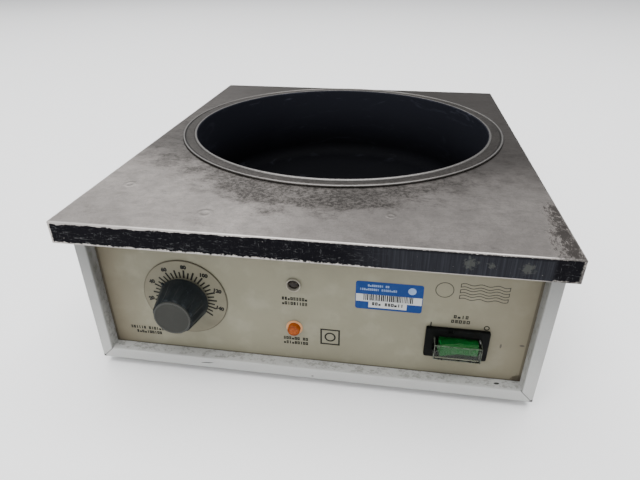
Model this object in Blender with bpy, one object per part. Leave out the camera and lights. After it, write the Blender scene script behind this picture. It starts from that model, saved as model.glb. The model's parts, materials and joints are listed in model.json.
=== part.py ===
"""Heated flotation bath for a laboratory bench: a black bowl sunk in a steel lid, over a white case.

Everything is in metres, +Z up. X runs to the right of someone facing the control panel, and Y to the back.
The origin is on the bench, under the centre of the lid.
"""

import math

import bmesh
import bpy
from mathutils import Matrix, Vector

# Driving dimensions
GAP = 0.0003  # left between pieces that touch
ROUND = 48  # sides of the bowl and what goes round it
LID_WIDTH = 0.300
LID_DEPTH = 0.357
LID_TOP = 0.124
LID_SHEET = 0.0009
SKIRT_HEIGHT = 0.0144
FOOT_HEIGHT = 0.006
CASE_SHEET = 0.0012
FRONT_OVERHANG = 0.0159
REAR_OVERHANG = 0.0090
PANEL_RECESS = 0.0093
PANEL_SHEET = 0.0015
BOWL_Y = 0.0328
BOWL_RADIUS = 0.1273
BOWL_DEPTH = 0.072
BOWL_SHEET = 0.0015
RIM_RADIUS = 0.1396
RIM_HEIGHT = 0.0020  # of the rim's top over the lid
LID_HOLE_RADIUS = 0.1330
FOLD_RADIUS = 0.0014  # of the lid's edges
DRILL_REACH = 0.006  # to either side of a wall that is drilled
SCREW_HOLE_RADIUS = 0.0018
LAMP_HOLE_RADIUS = 0.0041

# Worked out from them
CASE_X = LID_WIDTH / 2 - LID_SHEET - GAP
CASE_FRONT = -LID_DEPTH / 2 + FRONT_OVERHANG
CASE_BACK = LID_DEPTH / 2 - REAR_OVERHANG
CASE_BOTTOM = FOOT_HEIGHT
CASE_TOP = LID_TOP - LID_SHEET - GAP
PANEL_FRONT = CASE_FRONT + PANEL_RECESS + GAP
PANEL_BACK = PANEL_FRONT + PANEL_SHEET
BASE_LOW = CASE_BOTTOM + 0.001
BASE_TOP = BASE_LOW + CASE_SHEET
RIM_TOP = LID_TOP + RIM_HEIGHT
BOWL_FLOOR = RIM_TOP - BOWL_DEPTH
BOWL_UNDER = BOWL_FLOOR - BOWL_SHEET
REAR_PANEL_IN = CASE_BACK + GAP
REAR_PANEL_OUT = REAR_PANEL_IN + CASE_SHEET

# Places on the front panel: X, Z
KNOB_AT = (-0.0831, 0.0587)
OVERHEAT_LAMP_AT = (-0.0088, 0.0762)
HEATING_LAMP_AT = (-0.0090, 0.0418)
SWITCH_AT = (0.0966, 0.0420)

# Places on the rear panel: X, Z
INLET_AT = (0.0980, 0.0640)
FUSES_AT = ((0.0620, 0.0400), (0.0380, 0.0400))
RESET_AT = (-0.1050, 0.0440)

FRONT_FACING = (math.pi / 2, 0, 0)  # local +Z to world -Y, local +Y to world +Z
REAR_FACING = (math.pi / 2, 0, math.pi)  # local +Z to world +Y, local +Y to world +Z

# Finish: base colour, roughness, metallic
FINISHES = {
    "worn_steel": ((0.42, 0.41, 0.40), 0.45, 0.9),
    "white_enamel": ((0.72, 0.73, 0.74), 0.45, 0.0),
    "cream_panel": ((0.56, 0.53, 0.46), 0.5, 0.0),
    "bowl_black": ((0.02, 0.02, 0.025), 0.35, 0.2),
    "black_rubber": ((0.02, 0.02, 0.02), 0.8, 0.0),
    "black_plastic": ((0.02, 0.02, 0.025), 0.45, 0.0),
    "slate_plastic": ((0.035, 0.045, 0.055), 0.5, 0.0),
    "grey_plastic": ((0.10, 0.10, 0.095), 0.45, 0.0),
    "dial_metal": ((0.55, 0.53, 0.46), 0.4, 0.1),
    "zinc": ((0.62, 0.62, 0.6), 0.35, 1.0),
    "copper": ((0.65, 0.32, 0.2), 0.35, 1.0),
    "green_plastic": ((0.03, 0.35, 0.08), 0.25, 0.0),
    "clear_plastic": ((0.8, 0.85, 0.8), 0.1, 0.0),
    "smoke_lens": ((0.22, 0.18, 0.14), 0.25, 0.0),
    "amber_lens": ((0.85, 0.28, 0.04), 0.25, 0.0),
    "mineral_wool": ((0.62, 0.58, 0.42), 0.95, 0.0),
    "mica": ((0.45, 0.38, 0.25), 0.6, 0.0),
    "beige_plastic": ((0.7, 0.66, 0.55), 0.6, 0.0),
    "wire_sleeve": ((0.55, 0.1, 0.06), 0.6, 0.0),
}


def clear_scene():
    for obj in list(bpy.data.objects):
        bpy.data.objects.remove(obj)


def finish(name):
    """The material of that name, made the first time that it is asked for."""
    made = bpy.data.materials.get(name)
    if made:
        return made
    colour, roughness, metallic = FINISHES[name]
    made = bpy.data.materials.new(name)
    made.use_nodes = True
    shader = made.node_tree.nodes["Principled BSDF"]
    shader.inputs["Base Color"].default_value = (*colour, 1)
    shader.inputs["Roughness"].default_value = roughness
    shader.inputs["Metallic"].default_value = metallic
    return made


# Shapes: each returns a closed bmesh


def block(low, high, round_edges=None, radius=0.0, segments=2):
    """A box between two corners. round_edges(edge) picks the edges that are bevelled."""
    bm = bmesh.new()
    size = Vector(high) - Vector(low)
    middle = (Vector(high) + Vector(low)) / 2
    bmesh.ops.create_cube(bm, size=1, matrix=Matrix.Translation(middle) @ Matrix.Diagonal((*size, 1)))
    if round_edges:
        chosen = [e for e in bm.edges if round_edges(e)]
        bmesh.ops.bevel(bm, geom=chosen, offset=radius, segments=segments, profile=0.5, affect="EDGES")
    return bm


def turned(profile, segments=32):
    """A closed outline of (radius, height) points, turned about Z."""
    bm = bmesh.new()
    points = [bm.verts.new((r, 0, z)) for r, z in profile]
    edges = [bm.edges.new((a, b)) for a, b in zip(points, points[1:] + points[:1])]
    on_axis = [e for e in edges if all(abs(v.co.x) < 1e-7 for v in e.verts)]
    edges = [e for e in edges if e not in on_axis]
    bmesh.ops.delete(bm, geom=on_axis, context="EDGES_FACES")
    bmesh.ops.spin(
        bm, geom=points + edges, cent=(0, 0, 0), axis=(0, 0, 1), angle=2 * math.pi,
        steps=segments, use_merge=True,
    )
    bmesh.ops.remove_doubles(bm, verts=bm.verts, dist=1e-6)
    bmesh.ops.recalc_face_normals(bm, faces=bm.faces)
    return bm


def ring(inner, outer, low, high, segments=32):
    return turned([(inner, low), (outer, low), (outer, high), (inner, high)], segments)


def disc(radius, low, high, segments=32):
    return turned([(0, low), (radius, low), (radius, high), (0, high)], segments)


def prism(outline, low, high):
    """A closed outline of (x, y) points, counterclockwise, from one height to another."""
    bm = bmesh.new()
    face = bm.faces.new([bm.verts.new((x, y, low)) for x, y in outline])
    grown = bmesh.ops.extrude_face_region(bm, geom=[face])
    raised = [v for v in grown["geom"] if isinstance(v, bmesh.types.BMVert)]
    bmesh.ops.translate(bm, verts=raised, vec=(0, 0, high - low))
    bmesh.ops.recalc_face_normals(bm, faces=bm.faces)
    return bm


def polygon(radius, sides):
    return [
        (radius * math.cos(2 * math.pi * i / sides), radius * math.sin(2 * math.pi * i / sides))
        for i in range(sides)
    ]


def arc(centre, radius, start, end, steps):
    """Points along an arc of (radius, height), between two angles in degrees."""
    angles = [math.radians(start + (end - start) * i / steps) for i in range(steps + 1)]
    return [(centre[0] + radius * math.cos(a), centre[1] + radius * math.sin(a)) for a in angles]


# Objects


def add(name, bm, finish_name, at=(0, 0, 0), turn=(0, 0, 0), smooth=30):
    """The bmesh as a named object, in its own frame at a place and a turn."""
    mesh = bpy.data.meshes.new(name)
    bm.to_mesh(mesh)
    bm.free()
    mesh.materials.append(finish(finish_name))
    mesh.shade_smooth()
    mesh.set_sharp_from_angle(angle=math.radians(smooth))
    obj = bpy.data.objects.new(name, mesh)
    bpy.context.scene.collection.objects.link(obj)
    obj.location = at
    obj.rotation_euler = turn
    return obj


def combine(obj, bm, operation):
    """A Boolean with a bmesh that is given in obj's own frame."""
    mesh = bpy.data.meshes.new(f"{obj.name}_{operation.lower()}_tool")
    bm.to_mesh(mesh)
    bm.free()
    tool = bpy.data.objects.new(mesh.name, mesh)
    bpy.context.scene.collection.objects.link(tool)
    tool.location = obj.location
    tool.rotation_euler = obj.rotation_euler
    tool.hide_render = True
    tool.display_type = "WIRE"
    modifier = obj.modifiers.new(tool.name, "BOOLEAN")
    modifier.operation = operation
    modifier.solver = "EXACT"
    modifier.object = tool
    return obj


def cut(obj, bm):
    return combine(obj, bm, "DIFFERENCE")


def join(obj, bm):
    return combine(obj, bm, "UNION")


def moved(bm, vector):
    bmesh.ops.translate(bm, verts=bm.verts, vec=vector)
    return bm


def spun(bm, angle, axis):
    bmesh.ops.rotate(bm, verts=bm.verts, cent=(0, 0, 0), matrix=Matrix.Rotation(angle, 3, axis))
    return bm


def panel_hole(obj, at, radius, y, segments=24):
    """A round hole along Y through a wall at y."""
    drill = spun(disc(radius, -DRILL_REACH, DRILL_REACH, segments), math.pi / 2, "X")
    return cut(obj, moved(drill, (at[0], y, at[1])))


def side_hole(obj, side, y, z, radius):
    drill = spun(disc(radius, -DRILL_REACH, DRILL_REACH, 12), math.pi / 2, "Y")
    return cut(obj, moved(drill, (side * CASE_X, y, z)))


def upright(edge):
    a, b = (v.co for v in edge.verts)
    return abs(a.x - b.x) < 1e-6 and abs(a.y - b.y) < 1e-6


def not_at_bottom(edge):
    """True for a box's upright and top edges, by the box's own lowest point."""
    lowest = min(v.co.z for f in edge.link_faces for v in f.verts)
    return not all(abs(v.co.z - lowest) < 1e-6 for v in edge.verts)


# Casing

LID_SCREW_Z = LID_TOP - 0.0085
LID_SCREW_YS = (-0.100, 0.110)
FOOT_X = 0.1370
FOOT_YS = (-0.1400, 0.1450)
REAR_SCREW_X = 0.1320
REAR_SCREW_ZS = (0.0260, 0.0980)
WINDOW_X = CASE_X - 0.0078
WINDOW_LOW = CASE_BOTTOM + 0.0084
WINDOW_HIGH = CASE_TOP - 0.0084
REAR_WINDOW_X = 0.1260
REAR_WINDOW_Z = (0.0230, 0.1010)
LID_SCREW_HOLE_RADIUS = 0.0022
FOOT_SCREW_HOLE_RADIUS = 0.0023
VENT_SLOT = (0.060, 0.0035)
VENT_PITCH = 0.012
VENT_SLOTS = 5
VENTS_AT = (0.060, -0.095)
LIP_X = 0.1300
LIP_Z = (BASE_TOP + GAP, BASE_TOP + GAP + CASE_SHEET)


def foot_hole(obj, side, y, z):
    drill = disc(FOOT_SCREW_HOLE_RADIUS, -0.004, 0.004, 12)
    return cut(obj, moved(drill, (side * FOOT_X, y, z)))


def make_lid():
    lid = add(
        "lid_tray",
        block(
            (-LID_WIDTH / 2, -LID_DEPTH / 2, LID_TOP - SKIRT_HEIGHT),
            (LID_WIDTH / 2, LID_DEPTH / 2, LID_TOP),
            not_at_bottom, FOLD_RADIUS, 3,
        ),
        "worn_steel",
    )
    inside = Vector((LID_WIDTH / 2 - LID_SHEET, LID_DEPTH / 2 - LID_SHEET, LID_TOP - LID_SHEET))
    cut(lid, block((-inside.x, -inside.y, LID_TOP - SKIRT_HEIGHT - 0.002), inside))
    cut(lid, moved(disc(LID_HOLE_RADIUS, LID_TOP - 0.01, LID_TOP + 0.01, ROUND), (0, BOWL_Y, 0)))
    for side in (-1, 1):
        for y in LID_SCREW_YS:
            side_hole(lid, side, y, LID_SCREW_Z, LID_SCREW_HOLE_RADIUS)


def make_case():
    case = add(
        "case_body",
        block((-CASE_X, CASE_FRONT, CASE_BOTTOM), (CASE_X, CASE_BACK, CASE_TOP), upright, 0.001, 2),
        "white_enamel",
    )
    wall = CASE_SHEET
    cut(case, block(
        (-CASE_X + wall, CASE_FRONT + wall, CASE_BOTTOM - 0.01),
        (CASE_X - wall, CASE_BACK - wall, CASE_TOP + 0.01),
    ))
    # The frame round the panel turns back to it, all the way round.
    join(case, block(
        (-WINDOW_X - wall, CASE_FRONT + wall / 2, WINDOW_LOW - wall),
        (WINDOW_X + wall, CASE_FRONT + PANEL_RECESS, WINDOW_HIGH + wall),
    ))
    cut(case, block(
        (-WINDOW_X, CASE_FRONT - 0.01, WINDOW_LOW), (WINDOW_X, PANEL_BACK + 0.01, WINDOW_HIGH)
    ))
    cut(case, block(
        (-REAR_WINDOW_X, CASE_BACK - 0.01, REAR_WINDOW_Z[0]),
        (REAR_WINDOW_X, CASE_BACK + 0.01, REAR_WINDOW_Z[1]),
    ))
    for side in (-1, 1):
        xs = sorted((side * LIP_X, side * (CASE_X - wall / 2)))
        join(case, block((xs[0], CASE_FRONT + 0.012, LIP_Z[0]), (xs[1], CASE_BACK - 0.012, LIP_Z[1])))
        for y in FOOT_YS:
            foot_hole(case, side, y, LIP_Z[0])
        for y in LID_SCREW_YS:
            side_hole(case, side, y, LID_SCREW_Z, LID_SCREW_HOLE_RADIUS)
        for z in REAR_SCREW_ZS:
            panel_hole(case, (side * REAR_SCREW_X, z), SCREW_HOLE_RADIUS, CASE_BACK, 12)


def make_base():
    inset = CASE_SHEET + GAP
    base = add(
        "base_cover",
        block(
            (-CASE_X + inset, CASE_FRONT + inset, BASE_LOW), (CASE_X - inset, CASE_BACK - inset, BASE_TOP)
        ),
        "white_enamel",
    )
    for side in (-1, 1):
        for y in FOOT_YS:
            foot_hole(base, side, y, BASE_LOW)
    half = Vector((VENT_SLOT[0] / 2, VENT_SLOT[1] / 2, 0.004))
    for side in (-1, 1):
        for i in range(VENT_SLOTS):
            along = VENTS_AT[1] + (i - (VENT_SLOTS - 1) / 2) * VENT_PITCH
            middle = Vector((side * VENTS_AT[0], along, BASE_LOW))
            cut(base, block(middle - half, middle + half))
    for side in (-1, 1):
        for name, y in zip(("front", "rear"), FOOT_YS):
            where = f"{'left' if side < 0 else 'right'}_{name}"
            make_foot(where, (side * FOOT_X, y, 0))


def make_foot(where, at):
    top = BASE_LOW - GAP
    profile = [
        (0.0042, 0), (0.0078, 0), (0.0084, 0.0006), (0.0092, top), (0.0023, top), (0.0023, 0.0030),
        (0.0042, 0.0030),
    ]
    add(f"foot_{where}", turned(profile, 24), "black_rubber", at)
    head_top = 0.0030 - GAP
    screw = turned(
        [(0, 0.0008), (0.0030, 0.0008), (0.0036, 0.0016), (0.0036, head_top), (0.0019, head_top),
         (0.0019, 0.0140), (0, 0.0140)],
        16,
    )
    screw = add(f"foot_screw_{where}", screw, "zinc", at)
    cut(screw, block((-0.005, -0.0004, 0), (0.005, 0.0004, 0.0015)))


def pan_head_screw(length):
    """A slotted screw along Z: its head's underside is at height 0, and its shank goes down."""
    profile = [(0, 0.0019), (0.0016, 0.0018), (0.0027, 0.0012), (0.0031, 0), (0.0014, 0),
               (0.0014, -length), (0, -length)]
    return turned(profile, 16)


def make_screws():
    slot = ((-0.004, -0.0004, 0.0010), (0.004, 0.0004, 0.003))
    for side, word in ((-1, "left"), (1, "right")):
        for name, y in zip(("front", "rear"), LID_SCREW_YS):
            at = (side * (LID_WIDTH / 2 + GAP), y, LID_SCREW_Z)
            screw = add(f"lid_screw_{word}_{name}", pan_head_screw(0.0055), "zinc", at,
                        (0, side * math.pi / 2, 0))
            cut(screw, block(*slot))
        for name, z in zip(("low", "high"), REAR_SCREW_ZS):
            at = (side * REAR_SCREW_X, REAR_PANEL_OUT + GAP, z)
            screw = add(f"rear_screw_{word}_{name}", pan_head_screw(0.0060), "zinc", at, REAR_FACING)
            cut(screw, block(*slot))


def make_front_panel():
    low, high = CASE_BOTTOM + 0.005, CASE_TOP - 0.002
    half = CASE_X - CASE_SHEET - 2 * GAP
    panel = add(
        "front_panel",
        block((-half, PANEL_FRONT, low), (half, PANEL_BACK, high)),
        "cream_panel",
    )
    panel_hole(panel, KNOB_AT, BUSH_RADIUS + 0.0004, PANEL_FRONT)
    panel_hole(panel, OVERHEAT_LAMP_AT, LAMP_HOLE_RADIUS, PANEL_FRONT)
    panel_hole(panel, HEATING_LAMP_AT, LAMP_HOLE_RADIUS, PANEL_FRONT)
    x, z = SWITCH_AT
    cut(panel, block((x - 0.016, PANEL_FRONT - 0.01, z - 0.0090), (x + 0.016, PANEL_BACK + 0.01, z + 0.0090)))


def make_rear_panel():
    panel = add(
        "rear_panel",
        block((-0.138, REAR_PANEL_IN, 0.017), (0.138, REAR_PANEL_OUT, 0.107)),
        "white_enamel",
    )
    for side in (-1, 1):
        for z in REAR_SCREW_ZS:
            panel_hole(panel, (side * REAR_SCREW_X, z), SCREW_HOLE_RADIUS, REAR_PANEL_IN, 12)
        inlet_screw_at = (INLET_AT[0] + side * INLET_SCREW_X, INLET_AT[1])
        panel_hole(panel, inlet_screw_at, SCREW_HOLE_RADIUS, REAR_PANEL_IN, 12)
    for at in FUSES_AT:
        panel_hole(panel, at, 0.0066, REAR_PANEL_IN)
    panel_hole(panel, RESET_AT, 0.0054, REAR_PANEL_IN)
    half = Vector((INLET_BODY[0] / 2 + 0.0004, 0.01, INLET_BODY[1] / 2 + 0.0004))
    middle = Vector((INLET_AT[0], REAR_PANEL_IN, INLET_AT[1]))
    cut(panel, block(middle - half, middle + half))


# Bowl and its heater

BOWL_CORNER = 0.0120
RIM_CORNER = 0.0030
RIM_STEP = 0.0008
RIM_STEP_RADIUS = RIM_RADIUS - 0.0028
HEATER_RADIUS = 0.0880
HEATER_TOP = BOWL_UNDER - GAP
HEATER_LOW = HEATER_TOP - 0.0030
PLATE_TOP = HEATER_LOW - GAP
PLATE_LOW = PLATE_TOP - 0.0015
BRACKET_TOP = PLATE_LOW - GAP
BRACKET_LOW = BRACKET_TOP - 0.0020
STUD_RADIUS = 0.0030
STUD_LOW = 0.0330
BULB_RADIUS = 0.0030
BULB_OFFSET = 0.0970  # of a bulb from the bowl's axis
BULB_Z = BOWL_UNDER - GAP - BULB_RADIUS


def make_bowl():
    sheet = BOWL_SHEET
    under_rim = LID_TOP + GAP
    outer = BOWL_RADIUS + sheet
    profile = [
        (0, BOWL_FLOOR),
        *arc((BOWL_RADIUS - BOWL_CORNER, BOWL_FLOOR + BOWL_CORNER), BOWL_CORNER, -90, 0, 5),
        *arc((BOWL_RADIUS + RIM_CORNER, RIM_TOP - RIM_CORNER), RIM_CORNER, 180, 90, 4),
        (RIM_STEP_RADIUS, RIM_TOP),
        (RIM_STEP_RADIUS + RIM_STEP / 2, RIM_TOP - RIM_STEP),
        (RIM_RADIUS - 0.0004, RIM_TOP - RIM_STEP),
        (RIM_RADIUS, RIM_TOP - RIM_STEP - 0.0004),
        (RIM_RADIUS, under_rim),
        (outer + 0.0012, under_rim),
        (outer, under_rim - 0.0012),
        *arc((BOWL_RADIUS - BOWL_CORNER, BOWL_FLOOR + BOWL_CORNER), BOWL_CORNER + sheet, 0, -90, 5),
        (0, BOWL_UNDER),
    ]
    add("bowl", turned(profile, ROUND), "bowl_black", (0, BOWL_Y, 0))
    gasket = ring(outer + GAP, LID_HOLE_RADIUS - GAP, LID_TOP - 0.005, LID_TOP - 0.0012, ROUND)
    add("rim_gasket", gasket, "black_rubber", (0, BOWL_Y, 0))


def make_heater():
    at = (0, BOWL_Y, 0)
    hole = STUD_RADIUS + 0.0005
    add("heater_disc", ring(hole, HEATER_RADIUS, HEATER_LOW, HEATER_TOP, 40), "mica", at)
    add("pressure_plate", ring(hole, HEATER_RADIUS - 0.002, PLATE_LOW, PLATE_TOP, 40), "zinc", at)
    inner = CASE_X - CASE_SHEET - GAP
    bracket = add(
        "support_bracket", block((-inner, -0.018, BRACKET_LOW), (inner, 0.018, BRACKET_TOP)), "zinc", at
    )
    for side in (-1, 1):
        xs = sorted((side * inner, side * (inner - 0.002)))
        join(bracket, block((xs[0], -0.018, BRACKET_LOW - 0.022), (xs[1], 0.018, BRACKET_TOP)))
    cut(bracket, disc(hole, BRACKET_LOW - 0.01, BRACKET_TOP + 0.01, 16))
    add("clamp_stud", disc(STUD_RADIUS, STUD_LOW, HEATER_TOP, 16), "zinc", at)
    nut = add("clamp_nut", prism(polygon(0.0058, 6), BRACKET_LOW - 0.0055, BRACKET_LOW - GAP), "zinc", at)
    cut(nut, disc(STUD_RADIUS + GAP, 0, 0.1, 16))
    pad = disc(0.1200, BASE_TOP + GAP, STUD_LOW - 0.002, 40)
    add("insulation_pad", pad, "mineral_wool", at)
    outer = BOWL_RADIUS + BOWL_SHEET
    band = ring(outer + 0.0004, outer + 0.0060, BOWL_FLOOR + 0.008, LID_TOP - 0.008, ROUND)
    add("insulation_band", band, "mineral_wool", at)


def make_bulb(name, x, y, length):
    """A sensing bulb along X, under the bowl's floor."""
    bulb = disc(BULB_RADIUS, -length / 2, length / 2, 16)
    add(name, bulb, "copper", (x, y, BULB_Z), (0, math.pi / 2, 0))


def make_run(name, points, radius, finish_name):
    """A tube along a smooth curve through the points."""
    path = smooth_path([Vector(p) for p in points], 5)
    curve = bpy.data.curves.new(name, "CURVE")
    curve.dimensions = "3D"
    spline = curve.splines.new("POLY")
    spline.points.add(len(path) - 1)
    for point, place in zip(spline.points, path):
        point.co = (*place, 1)
    curve.bevel_depth = radius
    curve.bevel_resolution = 1
    curve.use_fill_caps = True
    curve.materials.append(finish(finish_name))
    obj = bpy.data.objects.new(name, curve)
    bpy.context.scene.collection.objects.link(obj)


def smooth_path(points, steps):
    """A Catmull-Rom curve through the points."""
    ends = [2 * points[0] - points[1], *points, 2 * points[-1] - points[-2]]
    path = []
    for a, b, c, d in zip(ends, ends[1:], ends[2:], ends[3:]):
        for i in range(steps):
            t = i / steps
            path.append(
                (2 * b + (c - a) * t + (2 * a - 5 * b + 4 * c - d) * t**2 + (3 * b - a - 3 * c + d) * t**3) / 2
            )
    return [*path, points[-1]]


# Controls on the front panel

DIAL_RADIUS = 0.0291
DIAL_SHEET = 0.0008
DIAL_FRONT = -(PANEL_FRONT - GAP - DIAL_SHEET)  # distances out from the origin, along -Y
KNOB_BACK = DIAL_FRONT + 0.0020
KNOB_LENGTH = 0.0196
KNOB_BASE_RADIUS = 0.0168
KNOB_TIP_RADIUS = 0.0132
KNOB_FLUTES = 14
SHAFT_RADIUS = 0.0030
THERMOSTAT_SIZE = (0.036, 0.042, 0.028)
CAP_RADIUS = 0.0122
CAP_SHEET = 0.0010
KNOB_POINTS_AT = 47  # degrees anticlockwise of straight up: the dial's 50
BUSH_RADIUS = 0.0052  # of the thermostat's threaded neck
SHAFT_END = KNOB_BACK + KNOB_LENGTH * 0.6


def front_part(name, bm, finish_name, at, smooth=30):
    """A piece built outwards along local +Z, at X and Z on the front panel."""
    return add(name, bm, finish_name, (at[0], 0, at[1]), FRONT_FACING, smooth)


def make_thermostat():
    behind = -PANEL_BACK - GAP
    width, height, depth = THERMOSTAT_SIZE
    body = block((-width / 2, -height / 2, behind - depth), (width / 2, height / 2, behind))
    body = front_part("control_thermostat", body, "beige_plastic", KNOB_AT)
    join(body, disc(BUSH_RADIUS, behind - 0.002, -PANEL_FRONT + 0.0002, 20))
    cut(body, disc(SHAFT_RADIUS + GAP, behind - 0.014, 0.2, 16))
    shaft = disc(SHAFT_RADIUS, behind - 0.0134, SHAFT_END, 16)
    front_part("thermostat_shaft", shaft, "zinc", KNOB_AT)
    dial = ring(BUSH_RADIUS + GAP, DIAL_RADIUS, DIAL_FRONT - DIAL_SHEET, DIAL_FRONT, 48)
    front_part("dial_plate", dial, "dial_metal", KNOB_AT)


def knob_outline(radius, depth):
    """A fluted outline of radius, with KNOB_FLUTES shallow grooves of that depth."""
    steps = KNOB_FLUTES * 6
    points = []
    for i in range(steps):
        angle = 2 * math.pi * i / steps
        groove = max(0.0, math.cos(KNOB_FLUTES * angle))
        r = radius - depth * groove
        points.append((r * math.cos(angle), r * math.sin(angle)))
    return points


def make_knob():
    front = KNOB_BACK + KNOB_LENGTH
    bm = prism(knob_outline(KNOB_BASE_RADIUS, 0.0006), KNOB_BACK, front)
    taper = KNOB_TIP_RADIUS / KNOB_BASE_RADIUS
    for v in bm.verts:
        if v.co.z > front - 1e-6:
            v.co.x *= taper
            v.co.y *= taper
    knob = front_part("control_knob", bm, "slate_plastic", KNOB_AT)
    pointer = prism([(-0.0016, 0.0150), (0.0016, 0.0150), (0.0004, 0.0190), (-0.0004, 0.0190)],
                    KNOB_BACK + 0.0001, KNOB_BACK + 0.0018)
    join(knob, spun(pointer, math.radians(KNOB_POINTS_AT), "Z"))
    cut(knob, disc(SHAFT_RADIUS + GAP, KNOB_BACK - 0.01, SHAFT_END + GAP, 16))
    cut(knob, disc(CAP_RADIUS + 0.0003, front - 0.0005, front + 0.01, 48))
    cap = turned([(0, front - 0.0002), (CAP_RADIUS, front - 0.0002), (CAP_RADIUS, front + CAP_SHEET - 0.0005),
                  (CAP_RADIUS - 0.0004, front + CAP_SHEET), (0, front + CAP_SHEET)], 48)
    front_part("knob_cap", cap, "grey_plastic", KNOB_AT)


def make_lamps():
    face = -PANEL_FRONT
    barrel_back = face - 0.016
    bezel = [(0.0039, barrel_back), (0.0039, face + GAP), (0.0047, face + GAP), (0.0047, face + 0.0012),
             (0.0044, face + 0.0017), (0.0040, face + 0.0017), (0.0037, face + 0.0010),
             (0.0036, face - 0.004), (0.0036, barrel_back)]
    front_part("overheat_lamp_bezel", turned(bezel, 32), "zinc", OVERHEAT_LAMP_AT)
    lens = [(0, face - 0.010), (0.0033, face - 0.010), (0.0033, face), (0.0028, face + 0.0008),
            (0.0016, face + 0.0013), (0, face + 0.0014)]
    front_part("overheat_lamp_lens", turned(lens, 24), "smoke_lens", OVERHEAT_LAMP_AT)
    lens = [(0, face - 0.003), (0.0030, face - 0.003), (0.0030, face + GAP), (0.0052, face + GAP),
            (0.0052, face + 0.0010), (0.0045, face + 0.0014), (0.0042, face + 0.0036),
            (0.0036, face + 0.0046), (0.0020, face + 0.0052), (0, face + 0.0053)]
    front_part("heating_lamp_lens", turned(lens, 32), "amber_lens", HEATING_LAMP_AT)
    body = [(0, face - 0.022), (0.0037, face - 0.022), (0.0037, face - 0.0004), (0.0033, face - 0.0004),
            (0.0033, face - 0.0034), (0, face - 0.0034)]
    front_part("heating_lamp_body", turned(body, 24), "black_plastic", HEATING_LAMP_AT)


SWITCH_FRAME = (0.0397, 0.0230, 0.0030)
HOOD_SIZE = (0.0292, 0.0112)
HOOD_WALL = 0.0009
HOOD_FRONT = -PANEL_FRONT + 0.0120
ROCKER_TILT = 7  # degrees to either side of level
ROCKER_PIVOT_Y = PANEL_FRONT + 0.0030


def centred(width, height, low, high, edges=None, radius=0.0, segments=2):
    return block((-width / 2, -height / 2, low), (width / 2, height / 2, high), edges, radius, segments)


def make_switch():
    face = -PANEL_FRONT
    frame = centred(SWITCH_FRAME[0], SWITCH_FRAME[1], face + GAP, face + SWITCH_FRAME[2],
                    not_at_bottom, 0.0008, 2)
    frame = front_part("switch_frame", frame, "black_plastic", SWITCH_AT)
    cut(frame, centred(HOOD_SIZE[0] + 0.0007, HOOD_SIZE[1] + 0.0007, face - 0.01, face + 0.01))
    hood = centred(*HOOD_SIZE, face + 0.0001, HOOD_FRONT, not_at_bottom, 0.0008, 2)
    hood = front_part("switch_hood", hood, "clear_plastic", SWITCH_AT)
    cavity = (HOOD_SIZE[0] - 2 * HOOD_WALL, HOOD_SIZE[1] - 2 * HOOD_WALL)
    cut(hood, centred(*cavity, face - 0.01, HOOD_FRONT - HOOD_WALL))
    body = centred(0.0312, 0.0172, face - 0.026, face - GAP)
    body = front_part("switch_body", body, "black_plastic", SWITCH_AT)
    cut(body, centred(*cavity, face - 0.0085, face + 0.01))
    for i in range(3):
        x = (i - 1) * 0.009
        join(body, block((x - 0.0032, -0.0005, face - 0.034), (x + 0.0032, 0.0005, face - 0.025)))


def make_rocker():
    """The rocker lies along X, and turns on an upright axis. At rest its right end is pressed in."""
    half, depth = 0.0116, 0.0044
    outline = [(-half, -0.0114), (0, -0.0096), (half, -0.0114), (half, -0.0035), (0.006, 0.0028),
               (-0.006, 0.0028), (-half, -0.0035)]
    rocker = prism(outline, -depth, depth)
    add("power_rocker", rocker, "green_plastic", (SWITCH_AT[0], ROCKER_PIVOT_Y, SWITCH_AT[1]),
        (0, 0, math.radians(ROCKER_TILT)))


# Rear panel

INLET_BODY = (0.0270, 0.0195)
INLET_FLANGE = (0.0500, 0.0225, 0.0025)
INLET_SCREW_X = 0.0200
INLET_MOUTH = (0.0245, 0.0165, 0.0165)


def rear_part(name, bm, finish_name, at, smooth=30):
    """A piece built outwards along local +Z, at X and Z on the rear panel."""
    return add(name, bm, finish_name, (at[0], 0, at[1]), REAR_FACING, smooth)


def make_inlet():
    face = REAR_PANEL_OUT + GAP
    front = face + INLET_FLANGE[2]
    inlet = rear_part(
        "power_inlet",
        centred(INLET_FLANGE[0], INLET_FLANGE[1], face, front, upright, 0.004, 3),
        "black_plastic", INLET_AT,
    )
    join(inlet, centred(*INLET_BODY, front - 0.024, front - 0.0005))
    half_w, half_h, chamfer = INLET_MOUTH[0] / 2, INLET_MOUTH[1] / 2, 0.0045
    mouth = [(-half_w, -half_h), (half_w, -half_h), (half_w, half_h - chamfer), (half_w - chamfer, half_h),
             (chamfer - half_w, half_h), (-half_w, half_h - chamfer)]
    cut(inlet, prism(mouth, front - INLET_MOUTH[2], front + 0.01))
    for x, y in ((-0.007, -0.002), (0.007, -0.002), (0, 0.002)):
        join(inlet, block((x - 0.001, y - 0.002, front - 0.018), (x + 0.001, y + 0.002, front - 0.0055)))
    for side, word in ((-1, "left"), (1, "right")):
        hole = disc(SCREW_HOLE_RADIUS, face - 0.01, face + 0.01, 12)
        cut(inlet, moved(hole, (side * INLET_SCREW_X, 0, 0)))
        at = (INLET_AT[0] + side * INLET_SCREW_X, front + GAP, INLET_AT[1])
        screw = add(f"inlet_screw_{word}", pan_head_screw(0.009), "zinc", at, REAR_FACING)
        cut(screw, block((-0.004, -0.0004, 0.0010), (0.004, 0.0004, 0.003)))


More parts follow.
